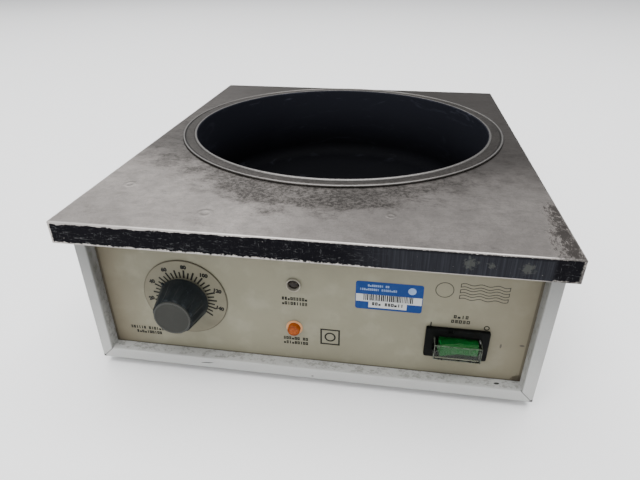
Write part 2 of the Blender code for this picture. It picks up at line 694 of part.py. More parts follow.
def make_fuses():
    face = REAR_PANEL_OUT + GAP
    holder = [(0, face - 0.028), (0.0062, face - 0.028), (0.0062, face), (0.0080, face),
              (0.0080, face + 0.0010), (0.0074, face + 0.0016), (0.0050, face + 0.0016),
              (0.0050, face - 0.0245), (0, face - 0.0245)]
    carrier = [(0, face - 0.024), (0.0046, face - 0.024), (0.0046, face + 0.0020), (0.0068, face + 0.0020),
               (0.0068, face + 0.0050), (0.0058, face + 0.0062), (0, face + 0.0062)]
    for at, word in zip(FUSES_AT, ("live", "neutral")):
        rear_part(f"fuse_holder_{word}", turned(holder, 24), "black_plastic", at)
        cap = rear_part(f"fuse_carrier_{word}", turned(carrier, 24), "black_plastic", at)
        cut(cap, block((-0.0045, -0.0006, face + 0.0050), (0.0045, 0.0006, face + 0.01)))


def make_overheat_cutout():
    inside = REAR_PANEL_IN - GAP
    neck_end = REAR_PANEL_OUT + 0.0042
    body = rear_part("overheat_thermostat", centred(0.030, 0.034, inside - 0.026, inside), "beige_plastic",
                     RESET_AT)
    join(body, disc(0.0050, inside - 0.002, neck_end, 20))
    cut(body, disc(0.0029, inside - 0.010, 0.3, 16))
    nut = prism(polygon(0.0082, 6), REAR_PANEL_OUT + GAP, REAR_PANEL_OUT + 0.0030)
    nut = rear_part("reset_nut", nut, "zinc", RESET_AT)
    cut(nut, disc(0.0053, 0, 0.3, 20))
    button = [(0, inside - 0.0065), (0.0025, inside - 0.0065), (0.0025, neck_end + 0.0022),
              (0.0019, neck_end + 0.0029), (0, neck_end + 0.0029)]
    rear_part("reset_button", turned(button, 20), "wire_sleeve", RESET_AT)


def make_wiring():
    knob_x, knob_z = KNOB_AT
    rear_of_thermostat = PANEL_BACK + THERMOSTAT_SIZE[2] + 2 * GAP
    front_bulb_y = BOWL_Y - BULB_OFFSET
    rear_bulb_y = BOWL_Y + BULB_OFFSET
    make_bulb("control_bulb", -0.015, front_bulb_y, 0.070)
    make_bulb("overheat_bulb", -0.015, rear_bulb_y, 0.060)
    make_run("control_capillary", [
        (-0.0505, front_bulb_y, BULB_Z), (-0.066, front_bulb_y - 0.004, BULB_Z - 0.002),
        (-0.078, front_bulb_y - 0.022, BULB_Z - 0.003), (knob_x, rear_of_thermostat + 0.012, BULB_Z - 0.002),
        (knob_x, rear_of_thermostat + 0.0004, BULB_Z),
    ], 0.0009, "copper")
    reset_x, reset_z = RESET_AT
    make_run("overheat_capillary", [
        (-0.0455, rear_bulb_y, BULB_Z), (-0.062, rear_bulb_y + 0.001, BULB_Z - 0.003),
        (-0.080, rear_bulb_y + 0.002, reset_z - 0.004), (reset_x + 0.004, rear_bulb_y + 0.004, reset_z - 0.006),
        (reset_x, REAR_PANEL_IN - 0.0272, reset_z - 0.006),
    ], 0.0009, "copper")
    block_at = Vector((0.020, -0.118, BASE_TOP + GAP))
    terminals = block(block_at - Vector((0.030, 0.009, 0)), block_at + Vector((0.030, 0.009, 0.014)))
    terminals = add("terminal_block", terminals, "beige_plastic")
    for i in range(6):
        x = block_at.x + (i - 2.5) * 0.0095
        cut(terminals, moved(disc(0.0021, 0, 0.01, 10), (x, block_at.y, block_at.z + 0.009)))
    switch_x, switch_z = SWITCH_AT
    make_run("switch_lead", [
        (switch_x, PANEL_FRONT + 0.0345, switch_z), (switch_x - 0.001, PANEL_FRONT + 0.042, switch_z - 0.004),
        (switch_x - 0.018, -0.112, switch_z - 0.016), (0.062, -0.117, block_at.z + 0.0075),
        (block_at.x + 0.0305, block_at.y, block_at.z + 0.007),
    ], 0.0022, "wire_sleeve")
    make_run("heater_lead", [
        (block_at.x - 0.0305, block_at.y, block_at.z + 0.007), (-0.024, -0.117, block_at.z + 0.0075),
        (-0.044, -0.104, 0.026), (-0.046, -0.078, 0.038), (-0.040, -0.056, HEATER_LOW - 0.008),
        (-0.034, -0.050, PLATE_LOW - 0.0028),
    ], 0.0022, "wire_sleeve")


def main():
    clear_scene()
    make_lid()
    make_case()
    make_base()
    make_screws()
    make_front_panel()
    make_rear_panel()
    make_bowl()
    make_heater()
    make_thermostat()
    make_knob()
    make_lamps()
    make_switch()
    make_rocker()
    make_inlet()
    make_fuses()
    make_overheat_cutout()
    make_wiring()


main()
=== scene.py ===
"""The looks of a heated flotation bath: a black bowl in a worn steel lid, over a white case.

Run as a script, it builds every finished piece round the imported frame, then the stage.
Lengths are in metres, +Z up, and the control panel faces -Y.
"""

import json
import math
import random

import bmesh
import bpy
from mathutils import Matrix, Vector


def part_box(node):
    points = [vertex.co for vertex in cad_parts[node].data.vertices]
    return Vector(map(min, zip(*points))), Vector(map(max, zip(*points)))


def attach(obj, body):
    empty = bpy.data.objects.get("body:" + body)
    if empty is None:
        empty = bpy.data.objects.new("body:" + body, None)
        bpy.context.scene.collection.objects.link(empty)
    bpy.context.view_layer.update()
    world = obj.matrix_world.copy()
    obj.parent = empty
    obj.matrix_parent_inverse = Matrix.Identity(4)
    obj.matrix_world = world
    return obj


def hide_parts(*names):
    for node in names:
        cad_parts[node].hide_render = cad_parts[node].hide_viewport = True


bl_info = {
    "name": "Flotation bath",
    "version": (1, 0, 0),
    "blender": (4, 5, 0),
    "location": "View3D > Sidebar > Bath",
    "description": "Builds the finished pieces of a heated laboratory flotation bath",
    "category": "Object",
}

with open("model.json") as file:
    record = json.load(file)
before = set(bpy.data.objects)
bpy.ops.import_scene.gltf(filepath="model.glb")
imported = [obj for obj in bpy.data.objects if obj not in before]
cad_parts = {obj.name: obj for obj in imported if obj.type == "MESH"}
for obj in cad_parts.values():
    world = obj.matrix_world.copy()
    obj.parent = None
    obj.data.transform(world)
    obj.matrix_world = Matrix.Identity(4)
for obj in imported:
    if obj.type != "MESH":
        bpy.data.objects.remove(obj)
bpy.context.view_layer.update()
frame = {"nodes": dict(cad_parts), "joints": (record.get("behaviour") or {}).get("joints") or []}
BODY = "bath"

# Places, from the frame
LID_LOW, LID_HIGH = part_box("lid_tray")
CASE_LOW, CASE_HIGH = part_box("case_body")
PANEL_LOW, PANEL_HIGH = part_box("front_panel")
BOWL_LOW, BOWL_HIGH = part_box("bowl")
BOWL_AT = (BOWL_LOW + BOWL_HIGH) / 2
PANEL_Y = PANEL_LOW.y
REAR_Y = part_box("rear_panel")[1].y

# The case's openings: half their width, and the heights of their lower and upper edges
WINDOW_X, WINDOW_Z = 0.1410, (0.0144, 0.1144)
REAR_WINDOW_X, REAR_WINDOW_Z = 0.1260, (0.0230, 0.1010)

# How far a new piece stands off the sheet it lies on, so that they never share a surface
GAP = 0.0003


def middle(node):
    """The centre of a CAD node's box."""
    low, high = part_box(node)
    return (low + high) / 2


def pivot(body):
    """Where the joint that moves a body stands."""
    joint = next(j for j in frame["joints"] if j["child"] == body)
    return Vector(joint["pos_m"])


def facing_front(x, z):
    """From a piece's own frame, built outwards along +Z with +Y up, to X and Z on the front panel."""
    return Matrix.Translation((x, PANEL_Y, z)) @ Matrix.Rotation(math.pi / 2, 4, "X")


def facing_back(x, z):
    """The same, on the rear panel."""
    turn = Matrix.Rotation(math.pi, 4, "Z") @ Matrix.Rotation(math.pi / 2, 4, "X")
    return Matrix.Translation((x, REAR_Y, z)) @ turn


# Sizes and colours that a user would change


def length(name, description, default):
    """A size in metres."""
    return bpy.props.FloatProperty(
        name=name, description=description, default=default, min=0, unit="LENGTH", precision=4,
    )


def colour(name, description, default):
    """A linear colour."""
    return bpy.props.FloatVectorProperty(
        name=name, description=description, default=default, subtype="COLOR", size=3, min=0, max=1
    )


class BathSizes(bpy.types.PropertyGroup):
    lid_sheet: length("Lid sheet", "Thickness of the lid's sheet", 0.0009)
    lid_bend: length("Lid bend", "Radius of the lid's folded edges", 0.0009)
    case_sheet: length("Case sheet", "Thickness of the case's sheet", 0.0012)
    case_bend: length("Case bend", "Radius of the case's folded edges", 0.0010)
    flange: length("Flange", "Width of the frame round the control panel", 0.0078)
    bowl_sheet: length("Bowl sheet", "Thickness of the bowl's wall", 0.0015)
    bowl_radius: length("Bowl radius", "Inner radius of the bowl", 0.1273)
    bowl_corner: length("Bowl corner", "Radius between the bowl's wall and floor", 0.0120)
    dial_radius: length("Dial radius", "Radius of the dial plate", 0.0291)
    print_film: length("Print film", "Thickness of printed marks", 0.00006)
    number_size: length("Number size", "Font size of the dial's numbers", 0.0038)


class BathColours(bpy.types.PropertyGroup):
    steel: colour("Steel", "Bare lid and rim", (0.308, 0.283, 0.264))
    tarnish: colour("Tarnish", "Dark patina on the bare steel", (0.060, 0.054, 0.049))
    black_paint: colour("Black paint", "Paint on the lid's skirt", (0.004, 0.004, 0.0055))
    bowl_black: colour("Bowl black", "Coating inside the bowl", (0.0060, 0.0064, 0.0088))
    case_paint: colour("Case paint", "Paint on the case", (0.345, 0.347, 0.336))
    panel: colour("Panel", "Printed control panel", (0.222, 0.210, 0.152))
    grime: colour("Grime", "Brown dirt on the panel", (0.12, 0.095, 0.062))
    knob: colour("Knob", "Slate knob", (0.0125, 0.0152, 0.0168))
    knob_cap: colour("Knob cap", "Flat end of the knob", (0.026, 0.0265, 0.023))
    amber: colour("Amber", "Heating lamp", (0.27, 0.050, 0.001))
    green: colour("Green", "Rocker", (0.005, 0.105, 0.018))
    label_blue: colour("Label blue", "Coloured field of the asset label", (0.006, 0.036, 0.165))
    ink: colour("Ink", "Black print", (0.012, 0.012, 0.011))


def sizes():
    """The user's sizes."""
    return bpy.context.scene.bath_sizes


def colours():
    """The user's colours."""
    return bpy.context.scene.bath_colours


# Finishes


def arithmetic(operation, swapped=False):
    """A method that adds one Math node."""

    def method(self, other=0):
        first, second = (other, self) if swapped else (self, other)
        return self.finish.node("ShaderNodeMath", {"operation": operation}, {0: first, 1: second})

    return method


class Value:
    """A socket that a shader node gives out. Arithmetic on it adds Math nodes."""

    def __init__(self, finish, socket):
        self.finish = finish
        self.socket = socket

    __add__ = arithmetic("ADD")
    __radd__ = arithmetic("ADD", swapped=True)
    __sub__ = arithmetic("SUBTRACT")
    __rsub__ = arithmetic("SUBTRACT", swapped=True)
    __mul__ = arithmetic("MULTIPLY")
    __rmul__ = arithmetic("MULTIPLY", swapped=True)
    __truediv__ = arithmetic("DIVIDE")
    __pow__ = arithmetic("POWER")
    __abs__ = arithmetic("ABSOLUTE")
    at_least = arithmetic("MAXIMUM")
    at_most = arithmetic("MINIMUM")

    def rises(self, start, end):
        """0 below start, 1 above end, and smooth between them. With end below start it falls."""
        settings = {"interpolation_type": "SMOOTHSTEP"}
        values = {"Value": self, "From Min": start, "From Max": end}
        return self.finish.node("ShaderNodeMapRange", settings, values)


class Finish:
    """A material with one Principled shader, which reads the piece's Object coordinates."""

    GLOSS = 0.12  # specular level, where a finish gives no other

    def __init__(self, name, **constants):
        self.material = bpy.data.materials.new(name)
        self.material.use_nodes = True
        self.tree = self.material.node_tree
        self.shader = self.tree.nodes["Principled BSDF"]
        self.place = self.node("ShaderNodeTexCoord", output="Object")
        for axis in "XYZ":
            setattr(self, axis.lower(), self.node("ShaderNodeSeparateXYZ", None, {0: self.place}, axis))
        self.set("Specular IOR Level", self.GLOSS)
        for words, value in constants.items():
            self.set(words.replace("_", " ").title().replace("Ior", "IOR"), value)

    def node(self, kind, settings=None, values=None, output=0):
        """Any node: its settings first, then the values or links of its sockets."""
        made = self.tree.nodes.new(kind)
        for name, value in (settings or {}).items():
            setattr(made, name, value)
        for name, value in (values or {}).items():
            self.feed(made.inputs[name], value)
        return Value(self, made.outputs[output])

    def feed(self, socket, value):
        """Links a socket, or sets its own value."""
        if isinstance(value, Value):
            self.tree.links.new(value.socket, socket)
        elif socket.type == "RGBA" and len(value) == 3:
            socket.default_value = (*value, 1)
        else:
            socket.default_value = value

    def set(self, name, value):
        """Feeds one of the shader's sockets."""
        self.feed(self.shader.inputs[name], value)

    def noise(self, scale, detail=2.0, roughness=0.5, stretch=None, distortion=0.0, shift=None):
        """Noise from 0 to 1, with scale patterns to a metre, more along an axis with a larger stretch."""
        place = self.place
        if stretch or shift:
            place = self.node("ShaderNodeMapping", None, {
                "Vector": place, "Scale": stretch or (1, 1, 1), "Location": shift or (0, 0, 0),
            })
        return self.node("ShaderNodeTexNoise", None, {
            "Vector": place, "Scale": scale, "Detail": detail, "Roughness": roughness,
            "Distortion": distortion,
        })

    def cells(self, scale, output="Distance"):
        """A cellular pattern: how far a point is from its cell's centre, or the cell's own Color."""
        values = {"Vector": self.place, "Scale": scale}
        return self.node("ShaderNodeTexVoronoi", None, values, output)

    def mix(self, factor, first, second):
        """first where factor is 0, second where it is 1."""
        settings = {"data_type": "RGBA"}
        return self.node("ShaderNodeMix", settings, {0: factor, 6: first, 7: second}, 2)

    def distance(self, x=None, y=None, z=None):
        """How far a point is from the line or point with those coordinates."""
        squares = [
            (place - value) ** 2
            for place, value in ((self.x, x), (self.y, y), (self.z, z)) if value is not None
        ]
        return sum(squares[1:], squares[0]) ** 0.5

    def bump(self, height, depth, strength=1.0):
        """Relief that is depth high where height is 1."""
        values = {"Height": height, "Distance": depth, "Strength": strength}
        if self.shader.inputs["Normal"].is_linked:
            values["Normal"] = Value(self, self.shader.inputs["Normal"].links[0].from_socket)
        self.set("Normal", self.node("ShaderNodeBump", None, values))


def shade(tone, factor):
    """A colour made darker or lighter."""
    return tuple(channel * factor for channel in tone)


def bare_steel(finish, dark_from, around):
    """Worn bare steel. dark_from is a mask of tarnish, and around one of where patina gathers.

    Gives its colour and roughness, and the noises it is made of, for the caller's relief.
    """
    tone = colours()
    clouds = finish.noise(9, 5, 0.55)
    haze = finish.noise(70, 5, 0.7, shift=(3, 1, 0), distortion=0.4)
    grain = finish.noise(330, 4, 0.7, stretch=(0.3, 1.6, 1))
    speckle = finish.noise(1300, 2, 0.7)
    blotch = finish.noise(46, 10, 0.86, stretch=(0.8, 1.2, 1), shift=(0, 7, 0))
    mottle = finish.noise(190, 6, 0.85, shift=(2, 9, 0))
    glints = finish.noise(800, 3, 0.8, shift=(0, 2, 5))
    layers = (
        # a pattern, where it starts and is full, how strongly it shows, and its shade of the steel
        (haze, 0.40, 0.68, 0.55, 0.58),
        (grain, 0.48, 0.78, 0.34, 0.50),
        (mottle, 0.44, 0.62, 0.32, 0.52),
        (speckle, 0.54, 0.68, 0.38, 0.36),
        (glints, 0.62, 0.72, 0.30, 1.7),
    )
    base = finish.mix(clouds.rises(0.35, 0.68), shade(tone.steel, 1.16), shade(tone.steel, 0.86))
    for pattern, start, full, strength, factor in layers:
        base = finish.mix(pattern.rises(start, full) * strength, base, shade(tone.steel, factor))
    base = finish.mix(dark_from * 0.84, base, shade(tone.tarnish, 0.84))
    grit = finish.noise(480, 4, 0.85, shift=(6, 0, 1)).rises(0.40, 0.60)
    patina = (blotch + 0.30 * around + 0.20 * (haze - 0.5)).rises(0.55, 0.78)
    base = finish.mix(patina * (0.45 + 0.55 * grit), base, shade(tone.tarnish, 0.7))
    rough = 0.27 + 0.12 * haze + 0.10 * grain + 0.08 * patina
    return base, rough, clouds, haze, grain, speckle


# Marks on the lid: rubbed patches on its skirt (x, z, radius), and dings in its top (x, y, radius)
SKIRT_PATCHES = ((0.0926, 0.1172, 0.0040), (0.1036, 0.1166, 0.0020), (0.1218, 0.1165, 0.0042))
LID_DINGS = ((-0.0613, -0.1546, 0.0035), (-0.1270, -0.1196, 0.0030), (0.0494, -0.1424, 0.0022))


def lid_finish():
    """Bare on top, with worn black paint round the skirt and chipped edges."""
    tone = colours()
    finish = Finish("worn_lid", specular_ior_level=0.03)
    x, y, z = finish.x, finish.y, finish.z
    top = LID_HIGH.z
    bowl_distance = finish.distance(x=BOWL_AT.x, y=BOWL_AT.y)
    wander = finish.noise(16, 4, 0.6)

    # Tarnish towards the rear, and patina in front of the bowl
    rear = (y + 0.07 * wander + 0.06 * x).rises(-0.080, 0.010)
    rear = rear * (0.97 + x * 0.5).at_most(1)
    near_middle = (1.08 - abs(x - BOWL_AT.x + 0.005) * 4.6).at_least(0.1).at_most(1)
    before_bowl = (0.9 - (y - BOWL_AT.y) * 6).at_least(0.15).at_most(1)
    band = (bowl_distance + 0.030 * wander).rises(0.212, 0.160) * near_middle * before_bowl
    streak = finish.distance(y=-0.127).rises(0.010, 0.002) * finish.distance(x=0.005).rises(0.060, 0.020)
    around = (band + streak * 0.7).at_most(1)
    base, rough, clouds, haze, grain, speckle = bare_steel(finish, rear, around)

    # Residue scraped round the front right corner
    scrape = finish.noise(260, 8, 0.9, stretch=(1.0, 0.5, 1), distortion=0.4)
    corner = (x - 0.10 * (y + 0.12) + 0.020 * (wander - 0.5)).rises(0.128, 0.148) * y.rises(-0.085, -0.120)
    low_corner = (x - 0.9 * (y + 0.1785) + 0.020 * (wander - 0.5)).rises(0.118, 0.150) * 0.8
    by_edge = x.rises(0.1440, 0.1475) * y.rises(0.10, 0.02) * 0.45
    gathers = corner.at_least(low_corner).at_least(by_edge)
    residue = (scrape + 0.25 * gathers).rises(0.655, 0.74)
    base = finish.mix(residue * 0.92, base, (0.014, 0.012, 0.011))

    # The bends carry a painted highlight, dimmed towards the right edge, which faces away from the light
    edge = (LID_HIGH.x - abs(x)).at_most(LID_HIGH.y - abs(y))
    bright = edge.rises(0.0016, 0.0007) * (0.4 + 0.6 * haze) * (1 - 0.8 * x.rises(0.115, 0.145))
    base = finish.mix(bright * 0.55, base, (0.60, 0.57, 0.54))

    # Black paint on the skirt, chipped along its edges and rubbed in places
    chips = finish.noise(520, 4, 0.7, distortion=0.4)
    ragged = finish.noise(150, 3, 0.6, shift=(1, 0, 0))
    rubbed = x.rises(0.060, 0.020).at_least(x.rises(0.1335, 0.1365)).at_least(y.rises(-0.172, -0.168) * 0.6)
    below_top = z.rises(top - 0.0004, top - 0.0009)
    bare = 0.0042 * (ragged - 0.34) * x.rises(0.02, -0.12) + 0.0022 * (chips - 0.5)
    wear_top = (top - z - bare).rises(0.0005, 0.0009)
    wear_low = (z - LID_LOW.z - 0.0048 * (chips - 0.40) * rubbed).rises(0.0001, 0.0006)
    upright = ((LID_HIGH.x - abs(x)) ** 2 + (LID_HIGH.y - abs(y)) ** 2) ** 0.5
    wear_corner = (upright - 0.0030 * (chips - 0.2)).rises(0.0004, 0.0012)
    flakes = 1 - chips.rises(0.70, 0.74)
    paint = below_top * wear_top * wear_low * wear_corner * flakes
    long_scratches = finish.noise(480, 5, 0.75, stretch=(0.35, 1, 1.6), distortion=1.2)
    cross_scratches = finish.noise(620, 4, 0.7, stretch=(1.5, 1, 0.4), distortion=0.8, shift=(4, 0, 2))
    scratches = long_scratches.rises(0.56, 0.66).at_least(cross_scratches.rises(0.60, 0.70) * 0.8)
    black = finish.mix(scratches * rubbed * 0.62, tone.black_paint, (0.085, 0.085, 0.088))
    # Painted sheen: where the paint is not rubbed it is painted lighter and bluer, more in streaks, as a
    # reflection; the band just under the top edge is left without it
    streaks = finish.noise(420, 3, 0.6, stretch=(1.6, 1, 0.04))
    sheen_mask = 1 - rubbed
    sheen = streaks.rises(0.40, 0.75) * sheen_mask
    black = finish.mix(0.35 * sheen_mask + sheen * 0.5, black, (0.032, 0.034, 0.041))
    for along, up, width in SKIRT_PATCHES:
        patch = finish.distance(x=along, z=up) + 0.012 * (chips - 0.5)
        patch = patch.rises(width, width * 0.4) * y.rises(-0.176, -0.178)
        black = finish.mix(patch * 0.42, black, (0.085, 0.090, 0.078))
    strip = z.rises(top - 0.0028, top - 0.0014) * sheen_mask
    black = finish.mix(strip * 0.75, black, tone.black_paint)
    base = finish.mix(paint, base, black)
    finish.set("Base Color", base)
    metal_left = 1 - paint
    finish.set("Metallic", metal_left * 0.88 * (1 - residue))
    painted_rough = 0.30 + 0.28 * rubbed + 0.12 * streaks
    finish.set("Roughness", rough * metal_left + painted_rough * paint)

    # Relief: dings, pits, and the thickness of the paint
    finish.bump(clouds, 0.0006, 0.25)
    finish.bump(grain * 0.5 + speckle * 0.35 + haze, 0.00010, 0.35)
    for along, back, width in LID_DINGS:
        ding = finish.distance(x=along, y=back)
        finish.bump(ding.rises(width * 0.25, width) * ding.rises(width * 1.8, width), 0.0004, 0.5)
    finish.bump(paint * 0.6 + scratches * paint * rubbed * -0.5 + residue * 0.5, 0.00012, 0.7)
    return finish.material


# Radii of the bead on the bowl's rim and of the groove inside it
RIM_RIDGE = 0.1385
RIM_GROOVE = 0.13705


def bowl_finish():
    """Bare steel on the rim, and a black coating inside with a few scuffs; inside, painted shade darkens
    the floor and painted light brightens the upper wall.
    """
    tone = colours()
    finish = Finish("bowl_coating", specular_ior_level=0.035)
    radius = finish.distance(x=BOWL_AT.x, y=BOWL_AT.y)
    y, z = finish.y, finish.z

    # Bare rim: a worn lip, then a ridge and a groove with painted shade in it
    wander = finish.noise(22, 4, 0.6)
    front = (0.95 - (y - BOWL_AT.y) * 4 + 0.6 * (wander - 0.5)).at_least(0.35).at_most(1)
    base, rough, _, haze, grain, speckle = bare_steel(finish, 0.75 + 0.3 * wander, front)
    base = finish.mix(0.16, base, (0.02, 0.02, 0.02))
    inner = sizes().bowl_radius
    lip = abs((radius - (inner + 0.0016)) / 0.0014).rises(1.0, 0.45)
    base = finish.mix(lip * 0.5, base, (0.30, 0.29, 0.28))
    ridge = abs(radius - RIM_RIDGE).rises(0.0009, 0.0004)
    base = finish.mix(ridge * 0.5, base, (0.33, 0.32, 0.31))
    # Painted shade: the groove is painted nearly black
    groove = abs(radius - RIM_GROOVE).rises(0.0005, 0.0002)
    base = finish.mix(groove * 0.8, base, (0.02, 0.02, 0.02))

    # Black inside, up to a ragged edge at the lip, with scuffs near the top. The inside is painted darker
    # on its floor and lighter up its far wall, as painted shade and painted light, partly through where the
    # scuffs gather.
    chips = finish.noise(700, 3, 0.7)
    rim_wear = radius - 0.0016 * (chips - 0.45)
    black = rim_wear.rises(inner + 0.0009, inner + 0.0004)
    scuffs = finish.noise(38, 5, 0.7, stretch=(0.6, 0.6, 2.2), distortion=1.4)
    smears = finish.noise(7, 4, 0.6, distortion=0.8)
    upper = z.rises(BOWL_HIGH.z - 0.016, BOWL_HIGH.z - 0.002)
    scuffs_and_painted_light = scuffs.rises(0.56, 0.72) * (0.10 + 0.75 * upper * y.rises(0.02, 0.12))
    fine = finish.noise(900, 3, 0.8, stretch=(1, 1, 0.25)).rises(0.62, 0.72) * upper * 0.4
    # Painted shade and light: darker low in the bowl, lighter up the wall, and the smears show more up the
    # wall
    wall = z.rises(BOWL_LOW.z + 0.010, BOWL_HIGH.z)
    inside = finish.mix(wall, shade(tone.bowl_black, 0.28), shade(tone.bowl_black, 2.6))
    inside = finish.mix((scuffs_and_painted_light + fine).at_most(1), inside, (0.060, 0.064, 0.085))
    inside = finish.mix(smears.rises(0.5, 0.75) * (0.05 + 0.25 * wall), inside, shade(tone.bowl_black, 2.6))
    base = finish.mix(black, base, inside)
    finish.set("Base Color", base)
    finish.set("Metallic", 0.88 * (1 - black))
    finish.set("Roughness", rough * (1 - black) + black * (0.60 + 0.20 * smears))
    finish.bump(grain * 0.5 + speckle * 0.35 + haze, 0.00010, 0.3)
    return finish.material


# Dark marks on the frame round the panel: x, how far back on the lower reveal or how high on the
# front, half length and half width
REVEAL_MARKS = ((0.1256, 0.0052, 0.0018, 0.0009),)
FRONT_MARKS = ((-0.0702, 0.0104, 0.0045, 0.00035), (0.0044, 0.0085, 0.0009, 0.0004))


def paint_finish(name="case_paint", corner_dirt=1.0):
    """White paint with grime in the folds, scuffs, and small chips, painted lighter low down and darker
    high up.
    """
    tone = colours()
    finish = Finish(name)
    x, y, z = finish.x, finish.y, finish.z
    clouds = finish.noise(11, 4, 0.6)
    peel = finish.noise(1400, 2, 0.5)
    dust = finish.noise(330, 4, 0.75)
    base = finish.mix(clouds.rises(0.35, 0.7), tone.case_paint, shade(tone.case_paint, 0.88))
    smudge = finish.noise(55, 5, 0.7, distortion=0.7).rises(0.55, 0.78)
    # Painted light and shade: lighter near the bottom, as light thrown up from the floor, and darker near
    # the top, partly as painted shadow under the lid's skirt and partly as grime
    base = finish.mix(z.rises(0.012, 0.060), shade(tone.case_paint, 1.22), base)
    base = finish.mix(z.rises(0.050, 0.105) * 0.60, base, shade(tone.case_paint, 0.5))
    base = finish.mix(smudge * 0.30, base, (0.33, 0.32, 0.29))
    base = finish.mix(dust.rises(0.66, 0.74) * 0.45, base, (0.20, 0.19, 0.17))
    half, bottom, front = CASE_HIGH.x, CASE_LOW.z, CASE_LOW.y
    flange = sizes().flange

    # Grime where the frame turns back to the panel
    depth = y - front
    in_width = (abs(x) - WINDOW_X).rises(0.0012, 0.0006)
    above_foot = (WINDOW_Z[0] - z).rises(0.0012, 0.0006)
    in_reveal = depth.rises(0.0005, 0.0030) * depth.rises(0.0110, 0.0100) * in_width * above_foot
    near_panel = depth.rises(0.0080, 0.0096) * in_reveal
    grime = near_panel * (0.2 + 0.8 * smudge) * corner_dirt
    base = finish.mix(grime * 0.5, base, (0.13, 0.115, 0.09))
    specks = finish.noise(240, 4, 0.8, stretch=(0.7, 1, 1), shift=(8, 1, 0)).rises(0.46, 0.62) * in_reveal
    base = finish.mix(specks * 0.55 * corner_dirt, base, (0.14, 0.14, 0.12))

    # The mitres at the frame's lower corners, each with its relief hole, painted dark as painted shade
    # rather than cut
    across = half - abs(x)
    up = z - bottom
    on_front = depth.rises(0.0020, 0.0012)
    seam = abs(across - up).rises(0.00045, 0.00015) * up.rises(flange + 0.0012, flange + 0.0004) * on_front
    # Painted shade: the relief hole is a dark spot, pressed in only by a bump
    hole = ((across ** 2 + up ** 2) ** 0.5).rises(0.0028, 0.0021) * on_front
    base = finish.mix((seam * 0.75).at_least(hole), base, (0.015, 0.014, 0.013))

    for side, across_it, marks in ((on_front, z, FRONT_MARKS), (in_reveal, depth, REVEAL_MARKS)):
        for along, at, long, wide in marks:
            skewed = across_it - at - (x - along) * 0.1
            mark = (((x - along) / long) ** 2 + (skewed / wide) ** 2).rises(1.5, 0.6)
            base = finish.mix(mark * side * 0.95 * corner_dirt, base, (0.012, 0.011, 0.010))

    # Chips along the bends show grey metal
    chips = finish.noise(640, 3, 0.7, distortion=0.5)
    bend = (across + depth).rises(0.0022, 0.0010) + (up + depth).rises(0.0022, 0.0010)
    chipped = bend.at_most(1) * chips.rises(0.66, 0.70)
    base = finish.mix(chipped, base, (0.16, 0.155, 0.15))
    finish.set("Base Color", base)
    finish.set("Roughness", 0.38 + 0.16 * clouds + 0.18 * smudge)
    finish.set("Coat Weight", 0.15 * (1 - smudge))
    finish.bump(peel, 0.00003, 0.5)
    finish.bump(seam.at_least(hole), -0.0006, 0.8)
    return finish.material


# Dark marks on the panel: x, z, half width and half height; and the dirt in its lower right corner
PANEL_MARKS = ((0.1243, 0.0422, 0.0006, 0.0017), (0.1370, 0.0440, 0.0015, 0.0007))
CORNER_DIRT = (0.1395, 0.0150)


def panel_finish():
    """Cream print, browner and dirtier towards its edges, with painted shade in the crease along them."""
    tone = colours()
    finish = Finish("cream_print")
    x, z = finish.x, finish.z
    clouds = finish.noise(13, 4, 0.6)
    wash = finish.noise(34, 4, 0.65, stretch=(1, 1, 0.5))
    fine = finish.noise(900, 2, 0.6)
    base = finish.mix(clouds.rises(0.35, 0.7), shade(tone.panel, 1.06), shade(tone.panel, 0.93))
    green_cast = finish.noise(60, 3, 0.6, shift=(5, 0, 2)).rises(0.45, 0.75)
    base = finish.mix(green_cast * 0.22, base, (0.37, 0.37, 0.29))
    half, foot = PANEL_HIGH.x - 0.0070, WINDOW_Z[0]
    from_side = half - abs(x) + 0.012 * (wash - 0.5)
    sides = from_side.rises(0.040, 0.0) ** 1.6
    low = (z - foot + 0.012 * (wash - 0.5)).rises(0.026, 0.0) ** 1.6
    to_right, to_left = x.rises(0.05, 0.14), x.rises(0.05, -0.05)
    warm = to_right * 0.30 + sides * (0.15 + 0.45 * to_left) + low * 0.05
    base = finish.mix(warm.at_most(1), base, tone.grime)
    # Painted shade: a dark line in the crease along the panel's sides and foot
    crease_shade = (half - abs(x)).rises(0.0008, 0.0003).at_least((z - foot).rises(0.0009, 0.0003))
    base = finish.mix(crease_shade * (0.35 + 0.5 * wash), base, (0.05, 0.04, 0.03))
    blot = finish.noise(260, 5, 0.8, shift=(1, 4, 6))
    corner = finish.distance(x=CORNER_DIRT[0], z=CORNER_DIRT[1]).rises(0.0090, 0.0010)
    corner = corner + 1.6 * (blot - 0.5)
    base = finish.mix(corner.rises(0.50, 0.80) * 0.75, base, (0.045, 0.036, 0.026))
    spots = finish.noise(210, 4, 0.8, shift=(2, 0, 9)).rises(0.74, 0.79)
    base = finish.mix(spots * 0.35, base, (0.14, 0.11, 0.08))
    for along, up, wide, high in PANEL_MARKS:
        mark = (((x - along) / wide) ** 2 + ((z - up) / high) ** 2).rises(1.6, 0.5)
        base = finish.mix(mark * 0.75, base, (0.05, 0.045, 0.04))
    finish.set("Base Color", base)
    finish.set("Roughness", 0.36 + 0.14 * clouds + 0.10 * wash)
    finish.bump(fine, 0.00002, 0.4)
    return finish.material


